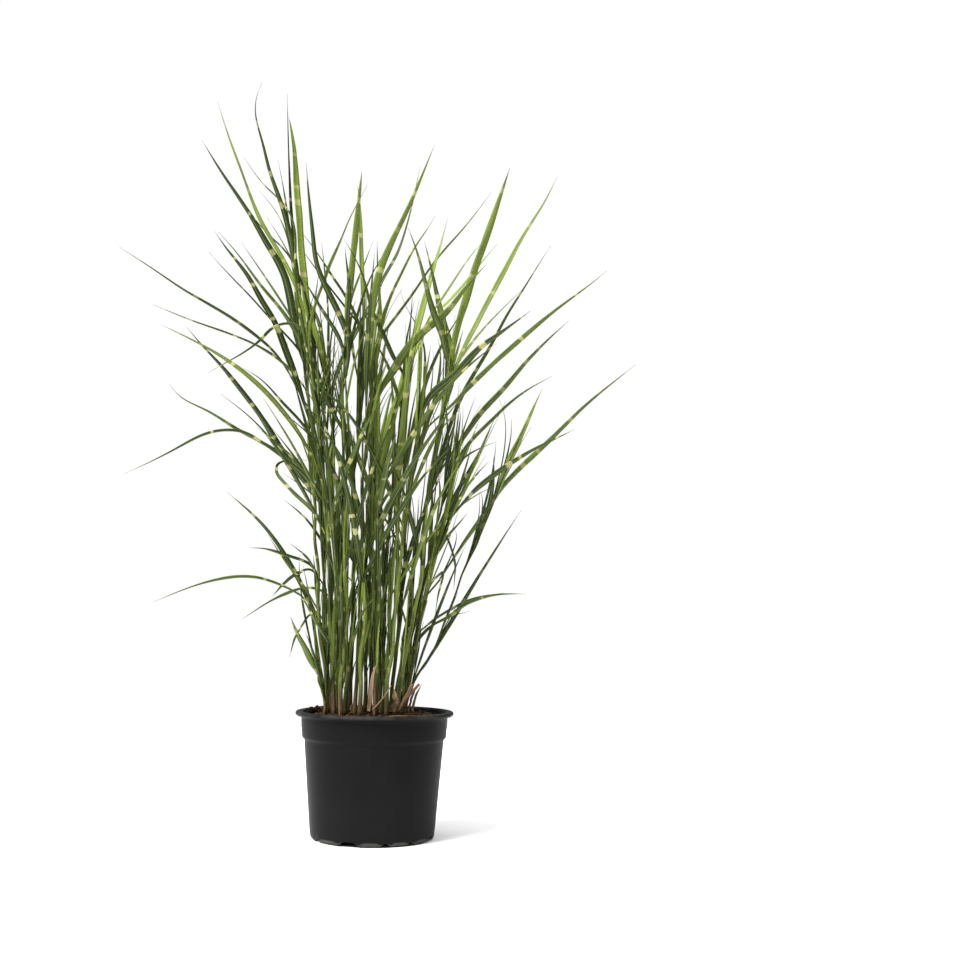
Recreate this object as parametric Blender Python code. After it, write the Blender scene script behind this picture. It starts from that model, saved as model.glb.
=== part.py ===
"""Potted miscanthus (zebra grass) clump: a nursery pot, its soil and a clump of culms with leaf blades.

Sizes in the constants and tables are millimetres; the objects are built in metres, +Z up.
The ground is z = 0 and the pot's axis is the Z axis. The clump is seen from -Y.
"""
import math
import random

import bmesh
import bpy
import numpy as np
from mathutils import Vector, kdtree

MM = 0.001
GAP = 0.4

# Pot
POT_HEIGHT = 150.0
RIM_RADIUS = 95.0
LIP_HEIGHT = 5.6
COLLAR_TOP_RADIUS = 88.0
COLLAR_FOOT_RADIUS = 86.6
STEP_HEIGHT = 117.0
WALL_TOP_RADIUS = 83.8
BASE_RADIUS = 74.2
WALL = 1.8
FOOT_RING_WIDTH = 7.0
BASE_CLEARANCE = 6.4
FLOOR = 2.6
POT_SIDES = 32
NOTCH_SIDES = (2, 6, 9, 13, 18, 22, 25, 30)  # counted from +X toward +Y; the front is 24
DRAIN_HOLES = 8
DRAIN_HOLE_RADIUS = 4.5
DRAIN_HOLE_RING = 50.0

# Soil
SOIL_TOP = 146.0
SOIL_EDGE_TOP = 142.5
CROWN_RADIUS = 64.0

# Clump: the eye that the front view was read from, and the way blades reach in depth
EYE_DISTANCE = 1600.0
EYE_HEIGHT = 268.0
CULM_SIDES = 5
BLADE_THICKNESS = 1.1
BLADE_FOLD = 0.16
HALF_DEPTH = 262.0
CLEARANCE = 1.6

# Stems as seen from the front: depth at the foot, depth at the top, radius at the foot,
# then (x, height) from the soil up. Depth grows away from the viewer.
STEMS = [
    (5, -15, 3.2, [(-57, 146), (-62, 200), (-67, 250), (-72, 300), (-77, 350), (-81, 400),
                   (-88, 500), (-101, 600)]),
    (22, 45, 2.9, [(-54, 146), (-59, 230), (-64, 300), (-68, 360), (-69, 420), (-74, 480), (-82, 540)]),
    (-14, -50, 3.0, [(-49, 146), (-53, 220), (-58, 300), (-63, 380), (-70, 450), (-80, 520), (-92, 590)]),
    (36, 80, 2.8, [(-45, 146), (-47, 230), (-52, 310), (-58, 390), (-63, 450), (-70, 510)]),
    (8, 10, 2.9, [(-41, 146), (-43, 250), (-49, 350), (-57, 450), (-66, 540)]),
    (-27, -70, 3.0, [(-36, 146), (-36, 250), (-40, 350), (-45, 450), (-47, 540), (-46, 600)]),
    (14, 35, 2.9, [(-30, 146), (-29, 250), (-31, 350), (-31, 450), (-28, 540), (-25, 600)]),
    (-10, -35, 2.9, [(-24, 146), (-21, 250), (-24, 330), (-31, 410), (-42, 480)]),
    (-34, -85, 3.0, [(-18, 146), (-17, 250), (-19, 350), (-20, 450), (-18, 550)]),
    (34, 95, 2.8, [(-12, 146), (-12, 250), (-14, 350), (-12, 450), (-10, 560)]),
    (4, -5, 3.0, [(-7, 146), (-5, 250), (-8, 350), (-5, 440)]),
    (-22, -60, 3.0, [(0, 146), (1, 250), (-2, 350), (-6, 440), (-10, 500)]),
    (26, 70, 2.8, [(5, 146), (8, 250), (11, 350), (18, 450), (27, 530)]),
    (-6, -20, 3.0, [(10, 146), (14, 250), (20, 350), (27, 450), (31, 540)]),
    (-30, -80, 3.0, [(14, 146), (20, 250), (28, 340), (37, 420), (46, 500)]),
    (10, 25, 2.9, [(19, 146), (27, 250), (33, 350), (38, 415), (46, 460), (57, 495)]),
    (36, 100, 2.7, [(23, 146), (36, 250), (46, 340), (58, 400), (68, 430)]),
    (-16, -55, 3.1, [(26, 146), (33, 200), (43, 250), (50, 310), (56, 380), (65, 450), (74, 510),
                     (84, 560)]),
    (18, 45, 2.8, [(30, 146), (40, 210), (50, 270), (60, 330), (71, 380), (84, 430)]),
    (-4, -20, 2.9, [(33, 146), (42, 200), (52, 250), (62, 300), (74, 345), (88, 383)]),
    (8, 20, 1.9, [(37, 148), (43, 180), (64, 214), (77, 246), (100, 300), (118, 350), (137, 400)]),
    (30, 60, 2.5, [(31, 146), (40, 200), (50, 255), (60, 285), (76, 309)]),
    (-12, -22, 2.3, [(-60, 146), (-63, 170), (-69, 190)]),
    (44, 110, 2.7, [(-33, 146), (-37, 250), (-45, 320), (-62, 385)]),
    (45, 120, 2.7, [(3, 146), (4, 260), (0, 360), (-5, 450), (-10, 530)]),
    (-36, -75, 2.9, [(-40, 146), (-44, 240), (-52, 330), (-62, 400), (-72, 430)]),
    (40, 70, 2.7, [(-50, 146), (-54, 240), (-60, 320), (-68, 385)]),
]

# The blade at the top of each stem, in the same order: width as seen, then (x, height) to the tip.
TOP_BLADES = [
    (9.5, [(-106, 650), (-113, 700), (-131, 775), (-146, 815), (-157, 855), (-166, 890),
           (-165, 912), (-159, 930)]),
    (4.0, [(-98, 590), (-121, 631), (-152, 668), (-180, 705), (-207, 736)]),
    (4.5, [(-100, 640), (-125, 700), (-156, 752), (-178, 805), (-199, 860), (-213, 902)]),
    (9.0, [(-80, 540), (-95, 575), (-112, 630), (-128, 690), (-146, 720), (-165, 752),
           (-197, 799), (-231, 852)]),
    (7.5, [(-80, 600), (-94, 640), (-100, 680), (-105, 720), (-108, 753), (-112, 790),
           (-118, 850), (-124, 887)]),
    (7.0, [(-44, 648), (-39, 702), (-35, 760), (-31, 820)]),
    (5.0, [(-25, 640), (-29, 700), (-32, 757), (-36, 802)]),
    (8.0, [(-55, 503), (-68, 527), (-80, 555), (-90, 590), (-98, 625), (-105, 662)]),
    (7.0, [(-14, 620), (-6, 690), (3, 716), (20, 755), (36, 794), (49, 829), (60, 859)]),
    (5.0, [(-5, 605), (-5, 640), (-9, 702), (-10, 731)]),
    (8.5, [(2, 465), (9, 498), (20, 528), (32, 575), (45, 630), (58, 685), (69, 725), (78, 764)]),
    (9.0, [(0, 543), (12, 562), (23, 581), (35, 599), (52, 618), (77, 641), (109, 684), (128, 706)]),
    (4.5, [(36, 580), (60, 633), (82, 657), (112, 695), (141, 733)]),
    (4.5, [(27, 560), (16, 579), (-4, 620), (-14, 640), (-27, 685), (-43, 718), (-52, 733)]),
    (8.0, [(60, 535), (91, 564), (118, 595), (140, 613), (184, 648)]),
    (5.5, [(66, 505), (86, 524), (111, 551), (149, 589), (193, 630), (230, 661), (264, 688), (281, 703)]),
    (6.0, [(80, 451), (100, 481), (122, 514), (150, 546), (176, 578), (206, 611), (233, 637)]),
    (8.0, [(93, 620), (102, 654), (112, 691), (124, 728), (134, 760), (147, 803), (156, 832)]),
    (4.0, [(104, 470), (136, 506), (161, 531), (186, 550), (213, 566)]),
    (5.5, [(98, 397), (132, 432), (150, 446), (199, 477), (226, 491), (241, 499)]),
    (6.5, [(146, 418), (157, 450), (173, 485), (187, 519), (200, 549)]),
    (6.0, [(92, 334), (115, 369), (129, 389), (150, 421), (176, 451), (215, 489), (250, 525),
           (290, 560), (318, 583)]),
    (6.5, [(-80, 211), (-89, 228), (-97, 243), (-104, 261)]),
    (7.5, [(-84, 415), (-97, 432), (-114, 453), (-145, 500), (-169, 532), (-198, 567),
           (-222, 592), (-241, 614)]),
    (4.5, [(-8, 590), (7, 655), (21, 689), (38, 725), (55, 753), (62, 766)]),
    (5.0, [(-89, 466), (-111, 499), (-142, 535), (-186, 571), (-222, 592), (-272, 616)]),
    (4.5, [(-90, 430), (-118, 456), (-150, 475), (-175, 488), (-216, 512), (-250, 531), (-259, 542)]),
]

# Side blades read from the photo: stem, height where the blade leaves it, width as seen,
# (x, height) to the tip.
SIDE_BLADES = [
    (0, 560, 4.5, [(-108, 650), (-113, 718), (-117, 752), (-121, 800), (-124, 850), (-127, 917)]),
    (0, 500, 8.0, [(-108, 558), (-124, 598), (-134, 621), (-150, 648), (-170, 682), (-198, 717),
                   (-212, 737)]),
    (0, 585, 3.0, [(-108, 680), (-116, 720), (-127, 786), (-136, 830)]),
    (0, 572, 3.0, [(-112, 690), (-124, 769), (-150, 795), (-178, 832)]),
    (0, 300, 4.0, [(-77, 318), (-105, 333), (-139, 343), (-156, 344)]),
    (0, 258, 3.5, [(-89, 284), (-118, 299), (-150, 308), (-191, 305), (-230, 293), (-268, 277)]),
    (0, 305, 2.5, [(-83, 327), (-108, 350)]),
    (0, 252, 2.0, [(-77, 264), (-88, 253), (-95, 241), (-104, 213)]),
    (1, 500, 3.5, [(-100, 533), (-123, 572), (-154, 603), (-196, 632), (-249, 662), (-278, 681),
                   (-327, 712)]),
    (1, 515, 3.0, [(-100, 548), (-132, 579), (-171, 600), (-229, 620), (-283, 641)]),
    (1, 250, 3.0, [(-76, 277), (-100, 311), (-120, 338), (-134, 360)]),
    (1, 296, 4.0, [(-83, 318), (-92, 316), (-101, 311), (-114, 300), (-127, 285)]),
    (2, 580, 3.5, [(-112, 621), (-134, 617), (-149, 602), (-188, 573), (-213, 558)]),
    (2, 555, 2.5, [(-105, 640), (-115, 700), (-135, 761), (-158, 790)]),
    (2, 540, 3.0, [(-90, 615), (-105, 680), (-129, 719), (-144, 733), (-173, 768)]),
    (2, 225, 4.0, [(-75, 257), (-89, 281), (-97, 293)]),
    (2, 400, 3.0, [(-85, 430), (-103, 461), (-121, 491), (-145, 528)]),
    (3, 440, 4.0, [(-78, 470), (-93, 492), (-122, 523), (-150, 552), (-171, 565)]),
    (3, 490, 3.0, [(-88, 560), (-105, 590), (-135, 622), (-158, 647), (-197, 687), (-217, 709)]),
    (3, 280, 3.5, [(-66, 292), (-85, 296), (-102, 292), (-131, 278), (-163, 257)]),
    (3, 355, 5.0, [(-82, 391), (-100, 407), (-118, 425), (-127, 439), (-126, 446), (-118, 451),
                   (-103, 454), (-86, 451)]),
    (4, 520, 5.0, [(-75, 600), (-83, 632), (-93, 650), (-101, 668), (-108, 690)]),
    (4, 505, 3.5, [(-68, 575), (-69, 628), (-74, 686), (-79, 726)]),
    (4, 510, 3.0, [(-80, 560), (-100, 605), (-123, 643), (-152, 686), (-178, 723)]),
    (4, 530, 2.5, [(-88, 620), (-110, 690), (-127, 724), (-148, 757)]),
    (3, 470, 5.5, [(-65, 510), (-59, 550), (-41, 598), (-20, 641), (1, 687), (14, 712), (26, 748),
                   (42, 829)]),
    (2, 565, 3.5, [(-88, 630), (-74, 678), (-67, 700), (-55, 730), (-46, 755), (-31, 788), (-24, 803)]),
    (5, 545, 7.0, [(-45, 608), (-58, 641), (-72, 668), (-84, 695), (-90, 730), (-96, 780), (-101, 828)]),
    (5, 560, 5.0, [(-52, 599), (-70, 631), (-93, 668), (-100, 680)]),
    (5, 585, 5.0, [(-44, 630), (-43, 667), (-48, 707), (-50, 722)]),
    (6, 540, 4.0, [(-38, 600), (-42, 640), (-38, 663), (-28, 693), (-15, 731)]),
    (6, 575, 3.5, [(-31, 623), (-46, 655), (-66, 685), (-83, 711), (-107, 742)]),
    (7, 440, 5.0, [(-26, 480), (-12, 520), (6, 560), (20, 590)]),
    (8, 520, 5.5, [(-19, 592), (-16, 657), (-13, 716)]),
    (9, 540, 3.0, [(-15, 590), (-30, 622), (-45, 641), (-69, 671), (-91, 700), (-107, 722)]),
    (13, 380, 9.0, [(21, 420), (26, 465), (30, 520), (34, 580), (42, 628)]),
    (13, 520, 2.5, [(28, 570), (33, 627), (38, 657)]),
    (14, 480, 3.5, [(48, 560), (54, 625), (73, 660), (89, 686), (108, 716), (125, 737)]),
    (15, 480, 3.0, [(52, 560), (50, 600), (36, 634), (27, 650), (21, 666)]),
    (15, 485, 3.5, [(75, 545), (95, 580), (116, 611), (136, 635), (159, 660), (178, 679)]),
    (16, 395, 5.0, [(80, 480), (101, 540), (122, 579), (137, 606), (155, 642), (174, 674),
                    (190, 701), (209, 733)]),
    (17, 520, 7.5, [(85, 569), (79, 588), (73, 613), (63, 639), (49, 686), (36, 730), (28, 750)]),
    (17, 545, 7.0, [(84, 595), (75, 629), (64, 672), (54, 714), (49, 733)]),
    (17, 525, 6.0, [(98, 590), (113, 621), (132, 660), (154, 705), (177, 749), (201, 790), (217, 824)]),
    (18, 405, 5.0, [(92, 442), (102, 460), (121, 507)]),
    (18, 395, 3.5, [(87, 440), (111, 465), (143, 481)]),
    (18, 320, 7.0, [(72, 365), (89, 403), (103, 430), (117, 456), (137, 500)]),
    (19, 372, 3.0, [(103, 415), (125, 446), (134, 456)]),
    (19, 325, 4.0, [(84, 360), (96, 375), (109, 392)]),
    (19, 340, 2.5, [(78, 366), (89, 347), (94, 318), (93, 296)]),
    (19, 285, 2.0, [(70, 312), (79, 318), (77, 300), (71, 262)]),
    (20, 380, 5.0, [(137, 410), (140, 430), (140, 463)]),
    (21, 232, 4.0, [(59, 247), (74, 256), (90, 265), (105, 277), (125, 286), (145, 291), (182, 293)]),
    (21, 240, 3.5, [(70, 260), (91, 273), (115, 285), (155, 294)]),
    (21, 215, 3.0, [(55, 240), (75, 257), (93, 265), (113, 271)]),
    (22, 172, 3.0, [(-72, 203), (-80, 228), (-87, 245)]),
    (24, 500, 4.0, [(-5, 600), (23, 645), (43, 675), (63, 707), (99, 752), (133, 800)]),
    (1, 385, 4.0, [(-85, 425), (-110, 448), (-140, 469), (-166, 484), (-186, 487), (-213, 482),
                   (-250, 462), (-309, 431)]),
]

# Two blades that reach farthest toward and away from the viewer: stem, height, width as seen,
# points, depth of the tip.
DEEP_BLADES = [
    (11, 380, 7.0, [(6, 430), (14, 470), (20, 490)], -HALF_DEPTH),
    (9, 400, 7.0, [(-8, 470), (-5, 520), (0, 560)], HALF_DEPTH),
]

# Side blades added by rule: stems that carry them and the heights between which they leave.
FILL_STEMS = [2, 5, 7, 8, 10, 11, 12, 13, 14, 6, 9, 16, 24, 25, 23, 15, 17, 4, 12, 10, 8, 13, 5, 11, 24, 14,
              26, 7, 9]
FILL_LOW = 215.0
FILL_HIGH = 430.0
FILL_LENGTH = (120.0, 250.0)


def unit(v):
    return v / max(np.linalg.norm(v), 1e-9)


def at_depth(x, height, depth):
    """The point at this depth that the front view shows at (x, height)."""
    s = (EYE_DISTANCE + depth) / EYE_DISTANCE
    return np.array([x * s, depth, EYE_HEIGHT + (height - EYE_HEIGHT) * s])


def spline(points, step):
    """Natural cubic spline through the points, sampled about every step."""
    p = np.array(points, dtype=float)
    n = len(p)
    d = np.maximum(np.linalg.norm(np.diff(p, axis=0), axis=1), 1e-6)
    t = np.concatenate([[0.0], np.cumsum(d)])
    a = np.zeros((n, n))
    b = np.zeros((n, 3))
    a[0, 0] = a[-1, -1] = 1.0
    for i in range(1, n - 1):
        a[i, i - 1] = d[i - 1]
        a[i, i] = 2.0 * (d[i - 1] + d[i])
        a[i, i + 1] = d[i]
        b[i] = 6.0 * ((p[i + 1] - p[i]) / d[i] - (p[i] - p[i - 1]) / d[i - 1])
    m = np.linalg.solve(a, b)
    s = np.linspace(0.0, t[-1], max(int(t[-1] / step), 8) + 1)
    k = np.clip(np.searchsorted(t, s, side="right") - 1, 0, n - 2)
    u = (s - t[k])[:, None]
    w = (t[k + 1] - s)[:, None]
    h = d[k][:, None]
    curve = (m[k] * w**3 + m[k + 1] * u**3) / (6 * h)
    return curve + (p[k] / h - m[k] * h / 6) * w + (p[k + 1] / h - m[k + 1] * h / 6) * u


def tangents(line):
    t = np.gradient(line, axis=0)
    return t / np.linalg.norm(t, axis=1)[:, None]


def culm_radius(stem, heights):
    """Culm with its sheaths: thickest at the foot, slim under the top blade."""
    u = np.clip((heights - SOIL_TOP) / max(stem["top"] - SOIL_TOP, 1.0), 0.0, 1.0)
    return 1.1 * stem["radius"] * (1.0 - 0.48 * u**1.5)


def blade_width(t):
    """Width along a blade, as a share of its widest: narrow at the sheath, long fine tip."""
    rise = np.clip(t / 0.3, 0.0, 1.0)
    rise = 0.35 + 0.65 * rise * rise * (3.0 - 2.0 * rise)
    fall = 1.0 - np.clip((t - 0.4) / 0.6, 0.0, 1.0)**1.5
    return rise * fall


class Clump:
    """Places every stem and blade and keeps them apart by their distances."""

    def __init__(self):
        self.points = []
        self.radii = []
        self.owners = []
        self.arcs = []
        self.random = random.Random(11)

    def register(self, line, radii, owner):
        arc = np.concatenate([[0.0], np.cumsum(np.linalg.norm(np.diff(line, axis=0), axis=1))])
        self.points += list(line)
        self.radii += list(radii)
        self.arcs += list(arc)
        self.owners += [owner] * len(line)
        tree = kdtree.KDTree(len(self.points))
        for i, p in enumerate(self.points):
            tree.insert(p, i)
        tree.balance()
        self.tree = tree

    def crowding(self, line, radii, stem, own_from):
        """How much a line would press into what is placed; own parts count beyond own_from along it."""
        if not self.points:
            return 0.0
        total = 0.0
        arc = 0.0
        for i in range(len(line)):
            if i:
                arc += np.linalg.norm(line[i] - line[i - 1])
            for _, j, dist in self.tree.find_range(line[i], radii[i] + 7.5):
                if self.owners[j] == stem and arc < own_from:
                    continue
                need = radii[i] + self.radii[j] + CLEARANCE
                if dist < need:
                    total += need - dist
        return total


def make_stems(clump):
    stems = []
    for index, (foot, top, radius, path) in enumerate(STEMS):
        best = None
        for shift in (0, 5, -5, 10, -10, 15, -15):
            for spread in (0, 12, -12, 24, -24, 40, -40):
                stem = stem_line(foot + shift, top + shift + spread, radius, path)
                score = clump.crowding(stem["line"], culm_radius(stem, stem["line"][:, 2]) + 0.2, -1, 0.0)
                if best is None or score < best[0]:
                    best = (score, stem)
                if score == 0.0:
                    break
            if best[0] == 0.0:
                break
        stem = best[1]
        stem["crowding"] = best[0]
        clump.register(stem["line"], culm_radius(stem, stem["line"][:, 2]), index)
        stems.append(stem)
    return stems


def stem_line(foot, top, radius, path):
    span = path[-1][1] - path[0][1]
    points = []
    for x, height in path:
        u = (height - path[0][1]) / span
        points.append(at_depth(x, height, foot + (top - foot) * u**1.3))
    points[0][2] = SOIL_TOP + GAP
    line = spline(points, 6.0)
    return {"line": line, "radius": radius, "top": line[-1][2]}


def blade_frame(line, seen, turn):
    """Width and face directions along a blade, turned so that it shows the width seen from the front."""
    real = min(max(seen * 1.12, 5.5), 10.5)
    angle = math.acos(min(seen / real, 1.0))
    along = tangents(line)
    eye = np.array([0.0, -EYE_DISTANCE, EYE_HEIGHT])
    view = line - eye
    view /= np.linalg.norm(view, axis=1)[:, None]
    flat = np.cross(along, view)
    flat /= np.maximum(np.linalg.norm(flat, axis=1), 1e-6)[:, None]
    deep = np.cross(along, flat)
    best = None
    for sign in (1.0, -1.0):
        a = sign * angle + np.linspace(-0.5, 0.5, len(line)) * turn
        across = flat * np.cos(a)[:, None] + deep * np.sin(a)[:, None]
        face = np.cross(across, along)
        lean = face[len(face) // 2][2]
        if best is None or abs(lean) > abs(best[2]) + 1e-6:
            best = (across, face, lean)
    across, face, lean = best
    if lean < 0:
        across, face = -across, -face
    return real, across, face


def blade_line(stem, start, path, tip_depth, power):
    """Centre line from the stem to the tip; the depth changes faster toward the tip for a larger power."""
    if start is None:
        root = stem["line"][-1]
        along = unit(stem["line"][-1] - stem["line"][-3])
        root = root + along * (GAP + 0.2)
    else:
        heights = front_heights(stem["line"])
        root = stem["line"][int(np.argmin(np.abs(heights - start)))]
    s = (EYE_DISTANCE + root[1]) / EYE_DISTANCE
    front = [(root[0] / s, EYE_HEIGHT + (root[2] - EYE_HEIGHT) / s)] + list(path)
    length = [0.0]
    for a, b in zip(front, front[1:]):
        length.append(length[-1] + math.hypot(b[0] - a[0], b[1] - a[1]))
    points = [root]
    for (x, height), far in list(zip(front, length))[1:]:
        depth = root[1] + (tip_depth - root[1]) * (far / length[-1])**power
        points.append(at_depth(x, height, depth))
    return spline(points, 4.0)


def front_heights(line):
    s = (EYE_DISTANCE + line[:, 1]) / EYE_DISTANCE
    return EYE_HEIGHT + (line[:, 2] - EYE_HEIGHT) / s


def tip_reach(x, height):
    """How far a blade's tip may lie in depth: the clump is about as deep as it is wide."""
    reach = 190.0 if height > 720 else 235.0
    return math.sqrt(max(reach * reach - x * x, 45.0 * 45.0))


def place_blade(clump, stems, index, start, seen, path, tip_depth=None):
    stem = stems[index]
    rng = clump.random
    outward = 1.0 if stem["line"][-1][1] > 0 else -1.0
    if rng.random() < 0.22:
        outward = -outward
    share = rng.uniform(0.3, 0.85)
    turn = rng.uniform(-0.5, 0.5)
    span = tip_reach(*path[-1])
    tips = [tip_depth] if tip_depth is not None else []
    if tip_depth is None:
        for step in range(0, 9):
            for sign in (1, -1):
                k = share + sign * 0.09 * step
                if 0.0 <= k <= 1.05:
                    tips.append(outward * k * span)
        tips += [-outward * k * span for k in (0.1, 0.2, 0.35, 0.5, 0.7, 0.9)]
    best = None
    for tip in tips:
        for power in (1.15, 0.9, 1.5):
            line = blade_line(stem, start, path, tip, power)
            real, across, face = blade_frame(line, seen, turn)
            t = np.linspace(0.0, 1.0, len(line))
            radii = 0.5 * real * blade_width(t) + 0.35
            own = index if start is not None else -1
            score = clump.crowding(line[1:], radii[1:], own, 45.0)
            if best is None or score < best[0]:
                best = (score, line, real, across, face, radii)
            if score == 0.0:
                break
        if best[0] == 0.0:
            break
    score, line, real, across, face, radii = best
    return {"stem": index, "line": line, "width": real, "across": across, "face": face,
            "radii": radii, "crowding": score, "top": start is None}


def fill_path(clump, stems, index, number):
    """Front-view points of a side blade set by rule, not by the photo: it leaves upward and arches out."""
    rng = clump.random
    stem = stems[index]
    start = rng.uniform(FILL_LOW, FILL_HIGH)
    heights = front_heights(stem["line"])
    start = min(start, heights[-1] - 45.0)
    k = int(np.argmin(np.abs(heights - start)))
    s = (EYE_DISTANCE + stem["line"][k][1]) / EYE_DISTANCE
    x0 = stem["line"][k][0] / s
    side = 1 if number % 2 else -1
    length = rng.uniform(*FILL_LENGTH)
    lean = math.radians(rng.uniform(8.0, 30.0)) * side
    bend = math.radians(rng.uniform(5.0, 30.0)) * side
    x, height, points = x0, start, []
    for i in range(4):
        angle = lean + bend * (i / 3.0)**2
        x += math.sin(angle) * length / 4.0
        height += math.cos(angle) * length / 4.0
        points.append((x, height))
    return start, rng.uniform(3.5, 7.0), points


def plan_clump():
    clump = Clump()
    stems = make_stems(clump)
    blades = []

    def keep(blade):
        clump.register(blade["line"], blade["radii"], blade["stem"] if not blade["top"] else -2)
        blades.append(blade)

    for index, (seen, path) in enumerate(TOP_BLADES):
        keep(place_blade(clump, stems, index, None, seen, path))
    for index, start, seen, path, depth in DEEP_BLADES:
        keep(place_blade(clump, stems, index, start, seen, path, depth))
    for index, start, seen, path in SIDE_BLADES:
        keep(place_blade(clump, stems, index, start, seen, path))
    for number, index in enumerate(FILL_STEMS):
        for _ in range(6):
            start, seen, path = fill_path(clump, stems, index, number)
            blade = place_blade(clump, stems, index, start, seen, path)
            if blade["crowding"] == 0.0:
                keep(blade)
                break
    return stems, blades


def make_material(name, color, roughness):
    material = bpy.data.materials.new(name)
    material.use_nodes = True
    shader = material.node_tree.nodes["Principled BSDF"]
    shader.inputs["Base Color"].default_value = (*color, 1.0)
    shader.inputs["Roughness"].default_value = roughness
    shader.inputs["Metallic"].default_value = 0.0
    material.diffuse_color = (*color, 1.0)
    return material


def make_object(name, verts, faces, material=None, smooth=False):
    """A closed mesh object; verts are millimetres in world coordinates."""
    mesh = bpy.data.meshes.new(name)
    mesh.from_pydata([tuple(float(c) * MM for c in v) for v in verts], [], faces)
    bm = bmesh.new()
    bm.from_mesh(mesh)
    bmesh.ops.recalc_face_normals(bm, faces=bm.faces)
    bm.to_mesh(mesh)
    bm.free()
    for polygon in mesh.polygons:
        polygon.use_smooth = smooth
    if smooth:
        mesh.set_sharp_from_angle(angle=math.radians(32.0))
    obj = bpy.data.objects.new(name, mesh)
    bpy.context.collection.objects.link(obj)
    if material:
        mesh.materials.append(material)
    return obj


def settle(obj, origin, parent):
    """Put the object's own origin at a point of the piece and hang it under the clump's empty."""
    offset = Vector([float(c) * MM for c in origin])
    for vertex in obj.data.vertices:
        vertex.co -= offset
    obj.location = offset
    obj.parent = parent


def boolean(target, tools, operation):
    """Apply an exact Boolean with each tool in turn, then remove the tools."""
    for tool in tools:
        tool.hide_render = True
        tool.display_type = "WIRE"
        modifier = target.modifiers.new("join", "BOOLEAN")
        modifier.operation = operation
        modifier.object = tool
        modifier.solver = "EXACT"
        bpy.context.view_layer.update()
        graph = bpy.context.evaluated_depsgraph_get()
        result = bpy.data.meshes.new_from_object(target.evaluated_get(graph))
        target.modifiers.clear()
        target.data = result
        bpy.data.objects.remove(tool)


def lathe(rings, sides, shape=None):
    """Verts and faces of a closed turned solid; rings are (radius, height), the ends meet the axis."""
    verts = [(0.0, 0.0, rings[0][1])]
    for k, (radius, height) in enumerate(rings):
        for i in range(sides):
            angle = 2.0 * math.pi * i / sides
            z = shape(k, i, height) if shape else height
            verts.append((radius * math.cos(angle), radius * math.sin(angle), z))
    verts.append((0.0, 0.0, rings[-1][1]))
    faces = []
    for i in range(sides):
        j = (i + 1) % sides
        faces.append((0, 1 + j, 1 + i))
        for k in range(len(rings) - 1):
            a = 1 + k * sides
            b = a + sides
            faces.append((a + i, a + j, b + j, b + i))
        last = 1 + (len(rings) - 1) * sides
        faces.append((len(verts) - 1, last + i, last + j))
    return verts, faces


def wall_radius(height):
    """Outer radius of the pot's tapered wall."""
    return BASE_RADIUS + (WALL_TOP_RADIUS - BASE_RADIUS) * (height - 2.5) / (STEP_HEIGHT - 1.0 - 2.5)


def make_pot():
    inner_foot = BASE_RADIUS - FOOT_RING_WIDTH
    lip = POT_HEIGHT - LIP_HEIGHT
    floor = BASE_CLEARANCE + FLOOR
    rings = [
        (inner_foot, BASE_CLEARANCE),
        (inner_foot + 0.6, 0.0),
        (BASE_RADIUS - 1.8, 0.0),
        (BASE_RADIUS, 2.5),
        (WALL_TOP_RADIUS, STEP_HEIGHT - 1.0),
        (COLLAR_FOOT_RADIUS, STEP_HEIGHT + 2.5),
        (COLLAR_TOP_RADIUS, lip - 0.6),
        (RIM_RADIUS - 1.8, lip),
        (RIM_RADIUS, lip + 1.8),
        (RIM_RADIUS, POT_HEIGHT - 1.8),
        (RIM_RADIUS - 1.6, POT_HEIGHT),
        (COLLAR_TOP_RADIUS - WALL, POT_HEIGHT - 0.6),
        (COLLAR_FOOT_RADIUS - WALL, STEP_HEIGHT + 2.5),
        (WALL_TOP_RADIUS - WALL, STEP_HEIGHT - 1.0),
        (wall_radius(floor) - WALL, floor),
    ]

    def notched(ring, side, height):
        """Drain notches at uneven distances: the foot ring is lifted at these sides."""
        if ring in (1, 2) and side in NOTCH_SIDES:
            return BASE_CLEARANCE - 0.6
        if ring == 3 and side in NOTCH_SIDES:
            return BASE_CLEARANCE + 0.6
        return height

    verts, faces = lathe(rings, POT_SIDES, notched)
    plastic = make_material("black_plastic", (0.022, 0.023, 0.024), 0.42)
    pot = make_object("pot", verts, faces, plastic, True)
    drills = []
    for i in range(DRAIN_HOLES):
        angle = 2.0 * math.pi * (i + 0.5) / DRAIN_HOLES
        x = DRAIN_HOLE_RING * math.cos(angle)
        y = DRAIN_HOLE_RING * math.sin(angle)
        ring = [(DRAIN_HOLE_RADIUS, 1.0), (DRAIN_HOLE_RADIUS, floor + 4.0)]
        verts, faces = lathe(ring, 6)
        drills.append(make_object("drill", [(x + v[0], y + v[1], v[2]) for v in verts], faces))
    boolean(pot, drills, "DIFFERENCE")
    return pot


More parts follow.
